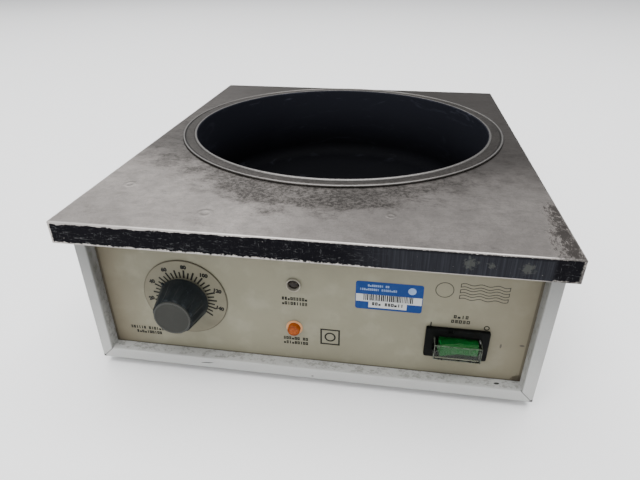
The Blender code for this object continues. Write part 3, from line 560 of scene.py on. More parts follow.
def moulded(name, tone, roughness=0.42, grain=1200, relief=0.00002, wear=0.3, worn_tone=None, **constants):
    """Moulded plastic or rubber: a fine grain, handling marks and a little dust."""
    finish = Finish(name, **constants)
    smudge = finish.noise(120, 4, 0.65, distortion=0.5)
    dust = finish.noise(1500, 2, 0.7)
    base = finish.mix(smudge.rises(0.45, 0.75) * wear, tone, worn_tone or shade(tone, 1.9))
    base = finish.mix(dust.rises(0.68, 0.76) * wear * 0.6, base, (0.20, 0.19, 0.17))
    finish.set("Base Color", base)
    finish.set("Roughness", roughness + 0.14 * smudge)
    finish.bump(finish.noise(grain, 2, 0.5), relief, 0.5)
    return finish.material


def plated(name, tone, roughness=0.28, scale=500):
    """Plated or drawn metal, with fine scratches and dulled patches."""
    finish = Finish(name, metallic=1.0)
    dull = finish.noise(160, 4, 0.65)
    lines = finish.noise(scale, 3, 0.7, stretch=(1, 1, 0.2))
    base = finish.mix(dull.rises(0.4, 0.75) * 0.5, tone, shade(tone, 0.55))
    finish.set("Base Color", base)
    finish.set("Roughness", roughness + 0.18 * dull + 0.08 * lines)
    finish.bump(lines, 0.00002, 0.4)
    return finish.material


def ink_finish(name, tone):
    """Screen print, a little thin in places."""
    finish = Finish(name)
    thin = finish.noise(900, 3, 0.7)
    finish.set("Base Color", finish.mix(thin.rises(0.5, 0.8) * 0.35, tone, shade(tone, 2.4)))
    finish.set("Roughness", 0.5 + 0.15 * thin)
    return finish.material


def fibre_finish(name, tone):
    """Matted mineral wool."""
    finish = Finish(name)
    tufts = finish.noise(260, 5, 0.8, distortion=1.5)
    finish.set("Base Color", finish.mix(tufts.rises(0.35, 0.7), shade(tone, 0.6), shade(tone, 1.15)))
    finish.set("Roughness", 0.85 + 0.1 * tufts)
    finish.bump(tufts, 0.0008, 0.8)
    return finish.material


# Shapes: each returns a bmesh


def slab(low, high, radius=0.0, segments=3):
    """A box, with rounded edges where a radius is given."""
    low, high = Vector(low), Vector(high)
    bm = bmesh.new()
    size = Matrix.Diagonal((*(high - low), 1))
    bmesh.ops.create_cube(bm, size=1, matrix=Matrix.Translation((low + high) / 2) @ size)
    if radius:
        round_off(bm, list(bm.edges), radius, segments)
    return bm


def round_off(bm, edges, radius, segments):
    """Bevels those edges to a round."""
    bmesh.ops.bevel(
        bm, geom=edges, offset=radius, offset_type="OFFSET", segments=segments, profile=0.5,
        affect="EDGES", material=-1, clamp_overlap=True,
    )


def plate(width, height, low, high, corner=0.0, edge=0.0, segments=4):
    """A plate centred on X and Y, with rounded corners, and its front edge eased."""
    bm = slab((-width / 2, -height / 2, low), (width / 2, height / 2, high))
    if corner:
        round_off(bm, [e for e in bm.edges if is_along(e, 2)], corner, segments)
    if edge:
        round_off(bm, front_edges(bm, high), edge, 3)
    return bm


def front_edges(bm, height):
    """The edges that lie at that height."""
    return [e for e in bm.edges if all(v.co.z > height - 1e-7 for v in e.verts)]


def is_along(edge, axis):
    """Whether an edge runs along X, Y or Z (axis 0, 1 or 2)."""
    direction = edge.verts[1].co - edge.verts[0].co
    return abs(abs(direction.normalized()[axis]) - 1) < 1e-4


def is_at(edge, axis, place):
    """Whether an edge lies at that X, Y or Z."""
    return all(abs(v.co[axis] - place) < 1e-6 for v in edge.verts)


def box_face(bm, axis, sign):
    """The largest face that looks along an axis, up it or down it by the sign."""
    facing = [f for f in bm.faces if f.normal[axis] * sign > 0.999]
    return max(facing, key=lambda f: f.calc_area())


def turned(profile, steps=64):
    """A closed outline of (radius, height) points, turned about Z."""
    bm = bmesh.new()
    points = [bm.verts.new((r, 0, z)) for r, z in profile]
    pairs = [
        (a, b) for a, b in zip(points, points[1:] + points[:1]) if a.co.x > 1e-7 or b.co.x > 1e-7
    ]
    edges = [bm.edges.new(pair) for pair in pairs]
    bmesh.ops.spin(
        bm, geom=points + edges, cent=(0, 0, 0), axis=(0, 0, 1), angle=2 * math.pi, steps=steps,
        use_merge=True,
    )
    bmesh.ops.remove_doubles(bm, verts=bm.verts, dist=1e-6)
    bmesh.ops.recalc_face_normals(bm, faces=bm.faces)
    return bm


def arc(centre, radius, start, end, steps=5):
    """Points along an arc, between two angles in degrees."""
    angles = [math.radians(start + (end - start) * i / steps) for i in range(steps + 1)]
    return [(centre[0] + radius * math.cos(a), centre[1] + radius * math.sin(a)) for a in angles]


def outline_plate(points, low, high, width=None):
    """A flat plate with that outline of (x, y) points, or only its edge, width wide."""
    bm = bmesh.new()
    face = bm.faces.new([bm.verts.new((x, y, low)) for x, y in points])
    if width:
        face.normal_update()
        bmesh.ops.inset_region(bm, faces=[face], thickness=width, use_even_offset=True, use_boundary=True)
        bmesh.ops.delete(bm, geom=[face], context="FACES")
    grown = bmesh.ops.extrude_face_region(bm, geom=bm.faces[:])
    bmesh.ops.translate(bm, verts=new_verts(grown), vec=(0, 0, high - low))
    bmesh.ops.recalc_face_normals(bm, faces=bm.faces)
    return bm


def new_verts(grown):
    """The vertices that an extrusion made."""
    return [v for v in grown["geom"] if isinstance(v, bmesh.types.BMVert)]


def frame_plate(points, width, low, high):
    """The edge of an outline, width wide, as a flat plate."""
    return outline_plate(points, low, high, width)


def rectangle(half_width, half_height):
    """Corners of a rectangle round the origin, anticlockwise."""
    return [
        (-half_width, -half_height), (half_width, -half_height), (half_width, half_height),
        (-half_width, half_height),
    ]


def polygon(radius, sides, start=90, centre=(0, 0)):
    """Corners of a regular polygon, anticlockwise."""
    return arc(centre, radius, start, start + 360 * (sides - 1) / sides, sides - 1)


def gather(parts):
    """Several bmeshes as one. Each is a bmesh, or a pair of it and a matrix."""
    whole = bmesh.new()
    for part in parts:
        bm, place = part if isinstance(part, tuple) else (part, Matrix.Identity(4))
        bmesh.ops.transform(bm, matrix=place, verts=bm.verts)
        scratch = bpy.data.meshes.new("gathered")
        bm.to_mesh(scratch)
        bm.free()
        whole.from_mesh(scratch)
        bpy.data.meshes.remove(scratch)
    return whole


def text_shape(words, size, thickness, weight=0.022):
    """Text centred on the origin, in the XY plane. weight thickens its strokes."""
    curve = bpy.data.curves.new("words", "FONT")
    curve.body = words
    curve.size = size
    curve.align_x = "CENTER"
    curve.align_y = "CENTER"
    curve.extrude = thickness / 2
    curve.offset = size * weight
    curve.resolution_u = 3
    holder = bpy.data.objects.new("words", curve)
    bpy.context.scene.collection.objects.link(holder)
    bpy.context.view_layer.update()
    mesh = bpy.data.meshes.new_from_object(holder)
    bm = bmesh.new()
    bm.from_mesh(mesh)
    bpy.data.objects.remove(holder)
    bpy.data.curves.remove(curve)
    bpy.data.meshes.remove(mesh)
    return bm


def add(name, bm, material, body=BODY, place=None, stands_for=(), angle=35, thickness=0.0):
    """The bmesh as a finished piece: its place in its mesh, riding on a body."""
    if place is not None:
        bmesh.ops.transform(bm, matrix=place, verts=bm.verts)
    mesh = bpy.data.meshes.new(name)
    bm.to_mesh(mesh)
    bm.free()
    mesh.materials.append(material)
    mesh.shade_smooth()
    mesh.set_sharp_from_angle(angle=math.radians(angle))
    piece = bpy.data.objects.new(name, mesh)
    bpy.context.scene.collection.objects.link(piece)
    if thickness:
        shell = piece.modifiers.new("Sheet", "SOLIDIFY")
        shell.thickness = thickness
        shell.offset = -1
        shell.use_even_offset = True
    flat = piece.modifiers.new("Flat faces", "WEIGHTED_NORMAL")
    flat.keep_sharp = True
    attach(piece, body)
    if stands_for:
        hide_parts(*stands_for)
    return piece


def carve(piece, cutters):
    """Takes closed shapes away from a finished piece."""
    tool_mesh = bpy.data.meshes.new("cutter")
    whole = gather(cutters)
    whole.to_mesh(tool_mesh)
    whole.free()
    tool = bpy.data.objects.new("cutter", tool_mesh)
    bpy.context.scene.collection.objects.link(tool)
    cut = piece.modifiers.new("Cut", "BOOLEAN")
    cut.object = tool
    cut.solver = "EXACT"
    bpy.context.view_layer.update()
    others = [m for m in piece.modifiers if m != cut]
    for other in others:
        other.show_viewport = False
    evaluated = piece.evaluated_get(bpy.context.evaluated_depsgraph_get())
    mesh = bpy.data.meshes.new_from_object(evaluated)
    for other in others:
        other.show_viewport = True
    piece.modifiers.remove(cut)
    old = piece.data
    mesh.name = old.name
    piece.data = mesh
    bpy.data.meshes.remove(old)
    bpy.data.objects.remove(tool)
    bpy.data.meshes.remove(tool_mesh)
    mesh.shade_smooth()
    mesh.set_sharp_from_angle(angle=math.radians(35))
    return piece


def paint_node(node, material):
    """Gives a CAD node that stays in view its finish."""
    data = frame["nodes"][node].data
    data.materials.clear()
    data.materials.append(material)


# Pieces


class BATH_OT_lid(bpy.types.Operator):
    """Folded steel tray, with the hole for the bowl"""

    bl_idname = "bath.lid"
    bl_label = "Lid"

    ROOM_ROUND_BOWL = 0.0057  # from the bowl's inner radius to the edge of the hole

    def execute(self, context):
        size = sizes()
        bm = slab(LID_LOW, LID_HIGH)
        round_off(bm, [e for e in bm.edges if is_along(e, 2)], size.lid_bend, 4)
        bm.normal_update()
        top = box_face(bm, 2, 1)
        round_off(bm, list(top.edges), size.lid_bend, 4)
        bm.normal_update()
        top, bottom = box_face(bm, 2, 1), box_face(bm, 2, -1)
        rim = list(top.edges)
        bmesh.ops.delete(bm, geom=[top, bottom], context="FACES_ONLY")
        hole = bmesh.ops.create_circle(
            bm, cap_ends=False, radius=size.bowl_radius + self.ROOM_ROUND_BOWL, segments=128,
            matrix=Matrix.Translation((BOWL_AT.x, BOWL_AT.y, LID_HIGH.z)),
        )
        loops = rim + list({e for v in hole["verts"] for e in v.link_edges})
        bmesh.ops.triangle_fill(bm, use_beauty=True, edges=loops, normal=(0, 0, 1))
        bmesh.ops.recalc_face_normals(bm, faces=bm.faces)
        if not any(f.normal.z > 0.99 for f in bm.faces):
            bmesh.ops.reverse_faces(bm, faces=bm.faces)
        add("lid", bm, lid_finish(), stands_for=["lid_tray"], thickness=size.lid_sheet)
        return {"FINISHED"}


class BATH_OT_bowl(bpy.types.Operator):
    """Spun bowl with a beaded rim that lies on the lid"""

    bl_idname = "bath.bowl"
    bl_label = "Bowl"

    def execute(self, context):
        size = sizes()
        inner, sheet, corner = size.bowl_radius, size.bowl_sheet, size.bowl_corner
        outer = inner + sheet
        rim, under = BOWL_HIGH.z, LID_HIGH.z + GAP
        floor = BOWL_LOW.z + sheet
        lip, bead = 0.0014, 0.0011  # radii of the rolled lip and of the bead round the rim
        edge = BOWL_HIGH.x - BOWL_AT.x
        flat = rim - 0.0005
        turn_in = (inner - corner, floor + corner)
        profile = [
            (0, floor + 0.0004), (inner * 0.5, floor + 0.0003), (inner - corner - 0.006, floor),
            *arc(turn_in, corner, -90, 0, 10),
            (inner, rim - 0.030), (inner, rim - 0.006),
            *arc((inner + lip, rim - lip), lip, 180, 20, 8),
            (inner + 2.35 * lip, flat), (edge - 2 * bead - 0.0011, flat),
            (edge - 2 * bead - 0.0008, flat - 0.0005), (edge - 2 * bead - 0.0004, flat - 0.0005),
            *arc((edge - bead, flat - bead + 0.0003), bead, 160, 0, 6),
            (edge, under + 0.0002), (edge - 0.0003, under), (outer + 0.0010, under),
            (outer, under - 0.0012), (outer, floor + corner),
            *arc(turn_in, corner + sheet, 0, -90, 8),
            (0, floor - sheet),
        ]
        place = Matrix.Translation((BOWL_AT.x, BOWL_AT.y, 0))
        add("bowl_spinning", turned(profile, 160), bowl_finish(), place=place,
            stands_for=["bowl"], angle=60)
        return {"FINISHED"}


class BATH_OT_case(bpy.types.Operator):
    """Folded white case, with the frame that turns back round the control panel"""

    bl_idname = "bath.case"
    bl_label = "Case"

    def execute(self, context):
        size = sizes()
        recess = PANEL_Y - CASE_LOW.y - GAP
        bm = slab(CASE_LOW, CASE_HIGH)
        window = self.open_window(bm, -1, WINDOW_X, WINDOW_Z)
        grown = bmesh.ops.extrude_edge_only(bm, edges=window)
        bmesh.ops.translate(bm, verts=new_verts(grown), vec=(0, recess, 0))
        self.open_window(bm, 1, REAR_WINDOW_X, REAR_WINDOW_Z)
        bm.normal_update()
        corners = [
            e for e in bm.edges if is_along(e, 2) and (is_at(e, 0, CASE_LOW.x) or is_at(e, 0, CASE_HIGH.x))
        ]
        foot = [
            e for e in bm.edges if is_along(e, 0) and is_at(e, 1, CASE_LOW.y) and is_at(e, 2, CASE_LOW.z)
        ]
        round_off(bm, list({*corners, *foot, *window}), size.case_bend, 4)
        bm.normal_update()
        for sign in (1, -1):
            bmesh.ops.delete(bm, geom=[box_face(bm, 2, sign)], context="FACES")
        add("case_shell", bm, paint_finish(), stands_for=["case_body"],
            thickness=size.case_sheet)
        paint_node("rear_panel", paint_finish("rear_paint", 0.0))
        return {"FINISHED"}

    def open_window(self, bm, sign, half, heights):
        """Cuts an opening in the front or back face, and gives its edges."""
        bm.normal_update()
        face = box_face(bm, 1, sign)
        bmesh.ops.inset_region(bm, faces=[face], thickness=sizes().flange)
        centre = face.calc_center_median().z
        for v in face.verts:
            v.co.x = math.copysign(half, v.co.x)
            v.co.z = heights[1] if v.co.z > centre else heights[0]
        edges = list(face.edges)
        bmesh.ops.delete(bm, geom=[face], context="FACES_ONLY")
        return edges


STROKE = 0.27  # width of a stroke, in letter heights


def greeked(words, height, pitch, drop, seed):
    """Rows of small boxes and bars in place of words, centred on X.

    words lists each row's word lengths. pitch is from letter to letter, and drop from row to row.
    """
    draw = random.Random(seed)
    film = sizes().print_film
    stroke = height * STROKE
    parts = []
    for row, counts in enumerate(words):
        total = sum(counts) + len(counts) - 1
        x = -total * pitch / 2
        low, high = -row * drop - height / 2, -row * drop + height / 2
        for count in counts:
            for _ in range(count):
                wide = pitch * draw.choice((0.72, 0.80, 0.86))
                left = x + (pitch - wide) / 2
                right = left + wide
                kind = draw.choice(("box", "box", "box", "post", "bars", "block"))
                if kind == "box":
                    corners = [(left, low), (right, low), (right, high), (left, high)]
                    parts.append(frame_plate(corners, stroke, 0, film))
                elif kind == "block":
                    parts.append(slab((left, low, 0), (right, high - 0.4 * height, film)))
                elif kind == "post":
                    start, end = (left + right - stroke) / 2, (left + right + stroke) / 2
                    parts.append(slab((start, low, 0), (end, high, film)))
                else:
                    for bottom in (low, (low + high - stroke) / 2, high - stroke):
                        parts.append(slab((left, bottom, 0), (right, bottom + stroke, film)))
                x += pitch
            x += pitch
    return gather(parts)


class BATH_OT_panel(bpy.types.Operator):
    """Cream control panel and its printed marks"""

    bl_idname = "bath.panel"
    bl_label = "Control panel"

    LEGENDS = {
        # name: x and z, word lengths by row, letter pitch, and seed
        "dial_legend": ((-0.1150, 0.0285), [[6, 7], [10]], 0.0019, 1),
        "overheat_legend": ((-0.0085, 0.0649), [[9], [9]], 0.0019, 2),
        "heating_legend": ((-0.0085, 0.0320), [[6, 2], [9]], 0.0019, 3),
        "power_legend": ((0.0972, 0.0622), [[4], [5]], 0.0024, 4),
    }
    LETTER = 0.0025  # height
    ROW_DROP = 0.0037
    MARKS_BESIDE = 0.0171  # from the middle of the switch
    SQUARE_AT = (0.0150, 0.0360)
    EMBLEM_AT = (0.0850, 0.0816)
    WAVE_STEPS = 24

    def execute(self, context):
        paint_node("front_panel", panel_finish())
        film = sizes().print_film
        self.black = ink_finish("black_ink", colours().ink)
        for name, (at, words, pitch, seed) in self.LEGENDS.items():
            self.stick(name, greeked(words, self.LETTER, pitch, self.ROW_DROP, seed), at)
        switch = middle("switch_frame")
        on_mark = slab((-0.0004, -0.0018, 0), (0.0004, 0.0018, film))
        self.stick("on_mark", on_mark, (switch.x - self.MARKS_BESIDE, switch.z + 0.0128))
        off_mark = turned([(0.0011, 0), (0.0018, 0), (0.0018, film), (0.0011, film)], 32)
        self.stick("off_mark", off_mark, (switch.x + self.MARKS_BESIDE, switch.z + 0.0134))
        outlines = (rectangle(0.0066, 0.0066), polygon(0.0038, 40))
        square = [frame_plate(outline, 0.0011, 0, film) for outline in outlines]
        self.stick("square_mark", gather(square), self.SQUARE_AT)
        self.make_emblem(film)
        return {"FINISHED"}

    def stick(self, name, marks, at):
        """Black marks as a piece, at x and z on the panel."""
        add(name, marks, self.black, place=facing_front(*at))

    def make_emblem(self, film):
        """A generic mark in outline: a ring beside three waves."""
        grey = ink_finish("grey_ink", (0.045, 0.042, 0.036))
        lines = [frame_plate(polygon(0.0056, 40), 0.0005, 0, film)]
        for row in (-1, 0, 1):
            top = []
            for i in range(self.WAVE_STEPS + 1):
                wave = 0.0006 * math.sin(i * math.pi / 4)
                top.append((0.0090 + 0.0290 * i / self.WAVE_STEPS, 0.0042 * row + 0.0013 + wave))
            low = [(x, y - 0.0028) for x, y in top]
            lines.append(frame_plate(low + top[::-1], 0.0005, 0, film))
        add("emblem_lines", gather(lines), grey, place=facing_front(*self.EMBLEM_AT))


class BATH_OT_label(bpy.types.Operator):
    """Asset label: a blue sticker with a white field of plain bars"""

    bl_idname = "bath.label"
    bl_label = "Asset label"

    AT = (0.0518, 0.0728)
    WIDTH, HEIGHT = 0.0418, 0.0210
    STICKER = 0.00012  # thickness
    BARS_FROM, BARS_TO = -0.0158, 0.0150

    def execute(self, context):
        width, height, film = self.WIDTH, self.HEIGHT, self.STICKER
        place = facing_front(*self.AT)
        lift = sizes().print_film
        blue = moulded("label_blue", colours().label_blue, 0.40, wear=0.25,
                       worn_tone=(0.03, 0.09, 0.26))
        white = moulded("label_white", (0.50, 0.51, 0.50), 0.4, wear=0.3, worn_tone=(0.38, 0.39, 0.39))
        pale = moulded("label_print", (0.24, 0.33, 0.50), 0.4, wear=0.3, worn_tone=(0.15, 0.22, 0.40))
        black = ink_finish("label_ink", colours().ink)
        add("label_sheet", plate(width, height, 0, film, 0.0016, 0), blue, place=place)
        fields = [
            (plate(width - 0.0008, 0.0056, film, film + lift), Matrix.Translation((0, -0.0018, 0))),
            (plate(0.0240, 0.0052, film, film + 1.2 * lift), Matrix.Translation((-0.0005, -0.0064, 0))),
        ]
        add("label_fields", gather(fields), white, place=place)
        disc = turned([(0, film), (0.0025, film), (0.0025, film + lift), (0, film + lift)], 32)
        words = greeked([[8, 2], [10, 8]], 0.0015, 0.00122, 0.0029, 7)
        prints = [
            (disc, Matrix.Translation((0.0140, 0.0056, 0))),
            (words, Matrix.Translation((-0.0068, 0.0076, film))),
        ]
        add("label_print", gather(prints), pale, place=place)
        draw = random.Random(11)
        bars, x = [], self.BARS_FROM
        while x < self.BARS_TO:
            wide = draw.choice((0.00040, 0.00060, 0.00085))
            bars.append(slab((x, -0.0036, film + lift), (x + wide, 0.0010, film + 1.6 * lift)))
            x += wide + draw.choice((0.00030, 0.00040, 0.00060))
        digits = greeked([[3, 6]], 0.0024, 0.0020, 0.0, 8)
        bars.append((digits, Matrix.Translation((-0.0005, -0.0060, film + 1.2 * lift))))
        add("label_bars", gather(bars), black, place=place)
        return {"FINISHED"}


class BATH_OT_dial(bpy.types.Operator):
    """Dial plate, with its ticks and numbers"""

    bl_idname = "bath.dial"
    bl_label = "Dial"

    TOP_VALUE = 80
    TOP_LEAN = 4.5  # degrees clockwise of straight up, where it stands
    PER_UNIT = 1.73  # degrees to one unit
    NUMBERS_AT = 0.0243  # radius
    TICKS_FROM = 0.0160  # radius
    LONG_TICK = (0.00062, 0.0221)  # half width, and the radius where it ends
    SHORT_TICK = (0.00055, 0.0206)

    def lean(self, value):
        """How far a value's tick is turned from straight up, anticlockwise."""
        return -math.radians(self.TOP_LEAN + (value - self.TOP_VALUE) * self.PER_UNIT)

    def execute(self, context):
        size = sizes()
        at = pivot("thermostat_knob")
        place = facing_front(at.x, at.z)
        low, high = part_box("dial_plate")
        back, front = PANEL_Y - high.y, PANEL_Y - low.y
        radius, hole = size.dial_radius, 0.0055
        disc = [(hole, back), (radius, back), (radius, front - 0.0003), (radius - 0.0003, front - 0.0001),
                (radius - 0.0008, front), (hole, front)]
        add("dial", turned(disc, 96), self.finish(at), place=place, stands_for=["dial_plate"])
        film = size.print_film
        marks = []
        for value in range(20, 151, 5):
            half, end = self.LONG_TICK if value % 10 == 0 else self.SHORT_TICK
            tick = slab((-half, self.TICKS_FROM, 0), (half, end, film))
            marks.append((tick, Matrix.Rotation(self.lean(value), 4, "Z")))
        for value in range(20, 141, 20):
            lean = self.lean(value) * 0.97
            where = (-self.NUMBERS_AT * math.sin(lean), self.NUMBERS_AT * math.cos(lean), film / 2)
            number = text_shape(str(value), size.number_size, film, 0.075)
            marks.append((number, Matrix.Translation(where) @ Matrix.Rotation(lean * 0.15, 4, "Z")))
        ink = ink_finish("dial_ink", colours().ink)
        on_dial = place @ Matrix.Translation((0, 0, front))
        add("dial_marks", gather(marks), ink, place=on_dial)
        return {"FINISHED"}

    def finish(self, at):
        """Cream lacquer, with painted shade: browner towards the edge and dark at the rim."""
        tone = colours().panel
        finish = Finish("dial_lacquer")
        radius = finish.distance(x=at.x, z=at.z)
        clouds = finish.noise(60, 4, 0.6)
        base = finish.mix(clouds.rises(0.4, 0.7), shade(tone, 0.90), shade(tone, 0.74))
        # Painted shade: a brown haze towards the edge and a dark ring at the rim
        warm = radius.rises(0.018, 0.0285) * (0.4 + 0.6 * clouds)
        base = finish.mix(warm * 0.45, base, (0.150, 0.128, 0.090))
        edge = radius.rises(0.0282, 0.0290)
        base = finish.mix(edge * 0.7, base, (0.05, 0.042, 0.03))
        finish.set("Base Color", base)
        finish.set("Roughness", 0.34 + 0.15 * clouds)
        finish.bump(finish.noise(900, 2, 0.5), 0.00002, 0.4)
        return finish.material


class BATH_OT_knob(bpy.types.Operator):
    """Fluted slate knob, with its flat cap"""

    bl_idname = "bath.knob"
    bl_label = "Knob"

    FLUTES = 12
    FLUTE_DEPTH = 0.0011
    SKIRT, TIP = 0.0168, 0.0134  # radii at the back and at the front
    RINGS = 22
    CAP = 0.0125  # radius of the seat for the cap
    POINTER_TURN = 47  # degrees anticlockwise of straight up

    def execute(self, context):
        at = pivot("thermostat_knob")
        low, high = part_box("control_knob")
        back, front = PANEL_Y - high.y, PANEL_Y - low.y
        skirt, tip, cap = self.SKIRT, self.TIP, self.CAP
        side = []
        for i in range(self.RINGS):
            up = (front - 0.0012 - back) * i / self.RINGS
            side.append((skirt + (tip - skirt) * i / self.RINGS, back + 0.0006 + up))
        profile = [
            (0.0040, back), (skirt - 0.0005, back), *side, (tip - 0.0001, front - 0.0006),
            (tip - 0.0004, front - 0.0002), (tip - 0.0008, front), (cap, front), (cap, front - 0.0006),
            (0, front - 0.0006), (0, back + 0.004), (0.0040, back + 0.004),
        ]
        bm = turned(profile, 144)
        self.flute(bm, back, front)
        pointer = outline_plate([(-0.0012, 0.0150), (0.0012, 0.0150), (0.0004, 0.0186), (-0.0004, 0.0186)],
                                back + 0.0002, back + 0.0022)
        round_off(pointer, [e for e in pointer.edges if e.calc_length() > 0.001], 0.0002, 2)
        bm = gather([bm, (pointer, Matrix.Rotation(math.radians(self.POINTER_TURN), 4, "Z"))])
        place = facing_front(at.x, at.z)
        add("fluted_knob", bm, self.slate(at), "thermostat_knob", place, ["control_knob"],
            angle=40)
        cap_front = PANEL_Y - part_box("knob_cap")[0].y
        cap = turned([
            (0, front - 0.0006), (0.0121, front - 0.0006), (0.0122, front - 0.0001),
            (0.0122, cap_front - 0.0004), (0.0121, cap_front - 0.0001), (0.0118, cap_front),
            (0.0113, cap_front), (0.0111, cap_front - 0.0002), (0, cap_front - 0.0002),
        ], 96)
        add("cap", cap, self.cap_grey(at), "thermostat_knob", place, ["knob_cap"])
        paint_node("thermostat_shaft", plated("shaft_steel", (0.55, 0.55, 0.53)))
        return {"FINISHED"}

    def slate(self, at):
        """Slate plastic, rubbed pale in patches and round its skirt, and scratched."""
        tone = colours().knob
        finish = Finish("slate_plastic")
        radius = finish.distance(x=at.x, z=at.z)
        smudge = finish.noise(160, 5, 0.7, distortion=0.8)
        scratches = finish.noise(420, 4, 0.8, stretch=(1.4, 0.4, 1.0), distortion=1.5)
        base = finish.mix(smudge.rises(0.45, 0.7) * 0.6, tone, shade(tone, 1.7))
        base = finish.mix(scratches.rises(0.60, 0.68) * 0.6, base, (0.060, 0.070, 0.082))
        skirt = radius.rises(0.0158, 0.0166)
        base = finish.mix(skirt * 0.4, base, shade(tone, 1.9))
        finish.set("Base Color", base)
        finish.set("Roughness", 0.36 + 0.2 * smudge)
        finish.bump(scratches, 0.00008, 0.5)
        return finish.material

    def cap_grey(self, at):
        """Grey plastic with a pale turned edge."""
        tone = colours().knob_cap
        finish = Finish("cap_plastic")
        radius = finish.distance(x=at.x, z=at.z)
        smudge = finish.noise(140, 4, 0.65)
        base = finish.mix(smudge.rises(0.4, 0.75) * 0.5, tone, shade(tone, 1.35))
        base = finish.mix(radius.rises(0.0109, 0.0114) * 0.2, base, (0.13, 0.135, 0.13))
        finish.set("Base Color", base)
        finish.set("Roughness", 0.38 + 0.12 * smudge)
        finish.bump(finish.noise(1800, 2, 0.5), 0.00002, 0.4)
        return finish.material

    def flute(self, bm, back, front):
        """Scallops that deepen from the skirt to the tip."""
        for v in bm.verts:
            radius = math.hypot(v.co.x, v.co.y)
            if radius < self.CAP + 0.0002 or v.co.z < back + 0.0010:
                continue
            along = min(1.0, (v.co.z - back - 0.0010) / (0.45 * (front - back)))
            wave = max(0.0, math.cos(self.FLUTES * math.atan2(v.co.y, v.co.x)) + 0.35) / 1.35
            depth = self.FLUTE_DEPTH * along * along * (3 - 2 * along) * wave
            depth = min(depth, radius - self.CAP - 0.00005)
            scale = (radius - depth) / radius
            v.co.x *= scale
            v.co.y *= scale


class BATH_OT_lamps(bpy.types.Operator):
    """The overheat lamp in its tube, and the amber heating lamp"""

    bl_idname = "bath.lamps"
    bl_label = "Lamps"

    FACETS = 900  # to a metre

    def execute(self, context):
        at = middle("overheat_lamp_bezel")
        place = facing_front(at.x, at.z)
        tube = [(0.0040, -0.010), (0.0040, 0.0003), (0.0047, 0.0003), (0.0047, 0.0012), (0.0046, 0.0016),
                (0.0044, 0.0017), (0.0042, 0.0016), (0.0039, 0.0010), (0.0038, -0.0040), (0.0038, -0.010)]
        cream = moulded("tube_plastic", (0.40, 0.375, 0.315), 0.35, wear=0.8, worn_tone=(0.16, 0.13, 0.10))
        add("overheat_lamp_tube", turned(tube, 48), cream, place=place,
            stands_for=["overheat_lamp_bezel"])
        lens = [(0, -0.004), (0.0037, -0.004), (0.0037, -0.0009), (0.0032, 0.0001), (0.0018, 0.0006),
                (0, 0.0008)]
        self.add_lens("overheat_lens", lens, "smoke_glass", (0.012, 0.008, 0.006), "smoke_lens", place,
                      ["overheat_lamp_lens"], at, (0.11, 0.090, 0.070))
        at = middle("heating_lamp_lens")
        place = facing_front(at.x, at.z)
        dome = [(0, -0.003), (0.0030, -0.003), (0.0030, 0.0011), (0.0043, 0.0011), (0.0042, 0.0038),
                *arc((0.0030, 0.0038), 0.0012, 0, 70, 4), (0.0018, 0.0052), (0, 0.0053)]
        self.add_lens("heating_lens", dome, "amber_glass", colours().amber, "amber_lens", place,
                      ["heating_lamp_lens"], at, (0.46, 0.10, 0.006))
        seat = [(0.0031, 0.0003), (0.0056, 0.0003), (0.0056, 0.0007), (0.0053, 0.0010), (0.0031, 0.0010)]
        pale = moulded("lamp_seat", (0.62, 0.34, 0.17), 0.35, wear=0.3, worn_tone=(0.55, 0.22, 0.08))
        add("heating_lamp_seat", turned(seat, 48), pale, place=place)
        paint_node("heating_lamp_body", moulded("lamp_body", (0.02, 0.02, 0.02)))
        return {"FINISHED"}

    def add_lens(self, name, profile, finish_name, tone, slot, place, stands_for, at, spark):
        """A lens whose facets show as darker cells inside it, with painted highlights on some that catch
        the light and round its edge.
        """
        finish = Finish(finish_name, ior=1.49, coat_weight=0.15)
        finish.set("Coat Roughness", 0.06)
        radius = finish.distance(x=at.x, z=at.z)
        facets = finish.cells(self.FACETS)
        cell_tone = finish.cells(self.FACETS, "Color")
        base = finish.mix(radius.rises(0.0012, 0.0040), shade(tone, 1.1), shade(tone, 0.7))
        base = finish.mix(facets.rises(0.2, 0.7) * 0.45, base, shade(tone, 0.5))
        # Painted highlights: bright cells, and a bright ring round the edge
        base = finish.mix(cell_tone.rises(0.62, 0.75) * 0.3, base, spark)
        base = finish.mix(radius.rises(0.0036, 0.0041) * 0.5, base, spark)
        finish.set("Base Color", base)
        finish.set("Roughness", 0.16 + 0.10 * facets)
        finish.bump(facets, 0.00010, 0.4)
        add(name, turned(profile, 48), finish.material, place=place, stands_for=stands_for, angle=50)


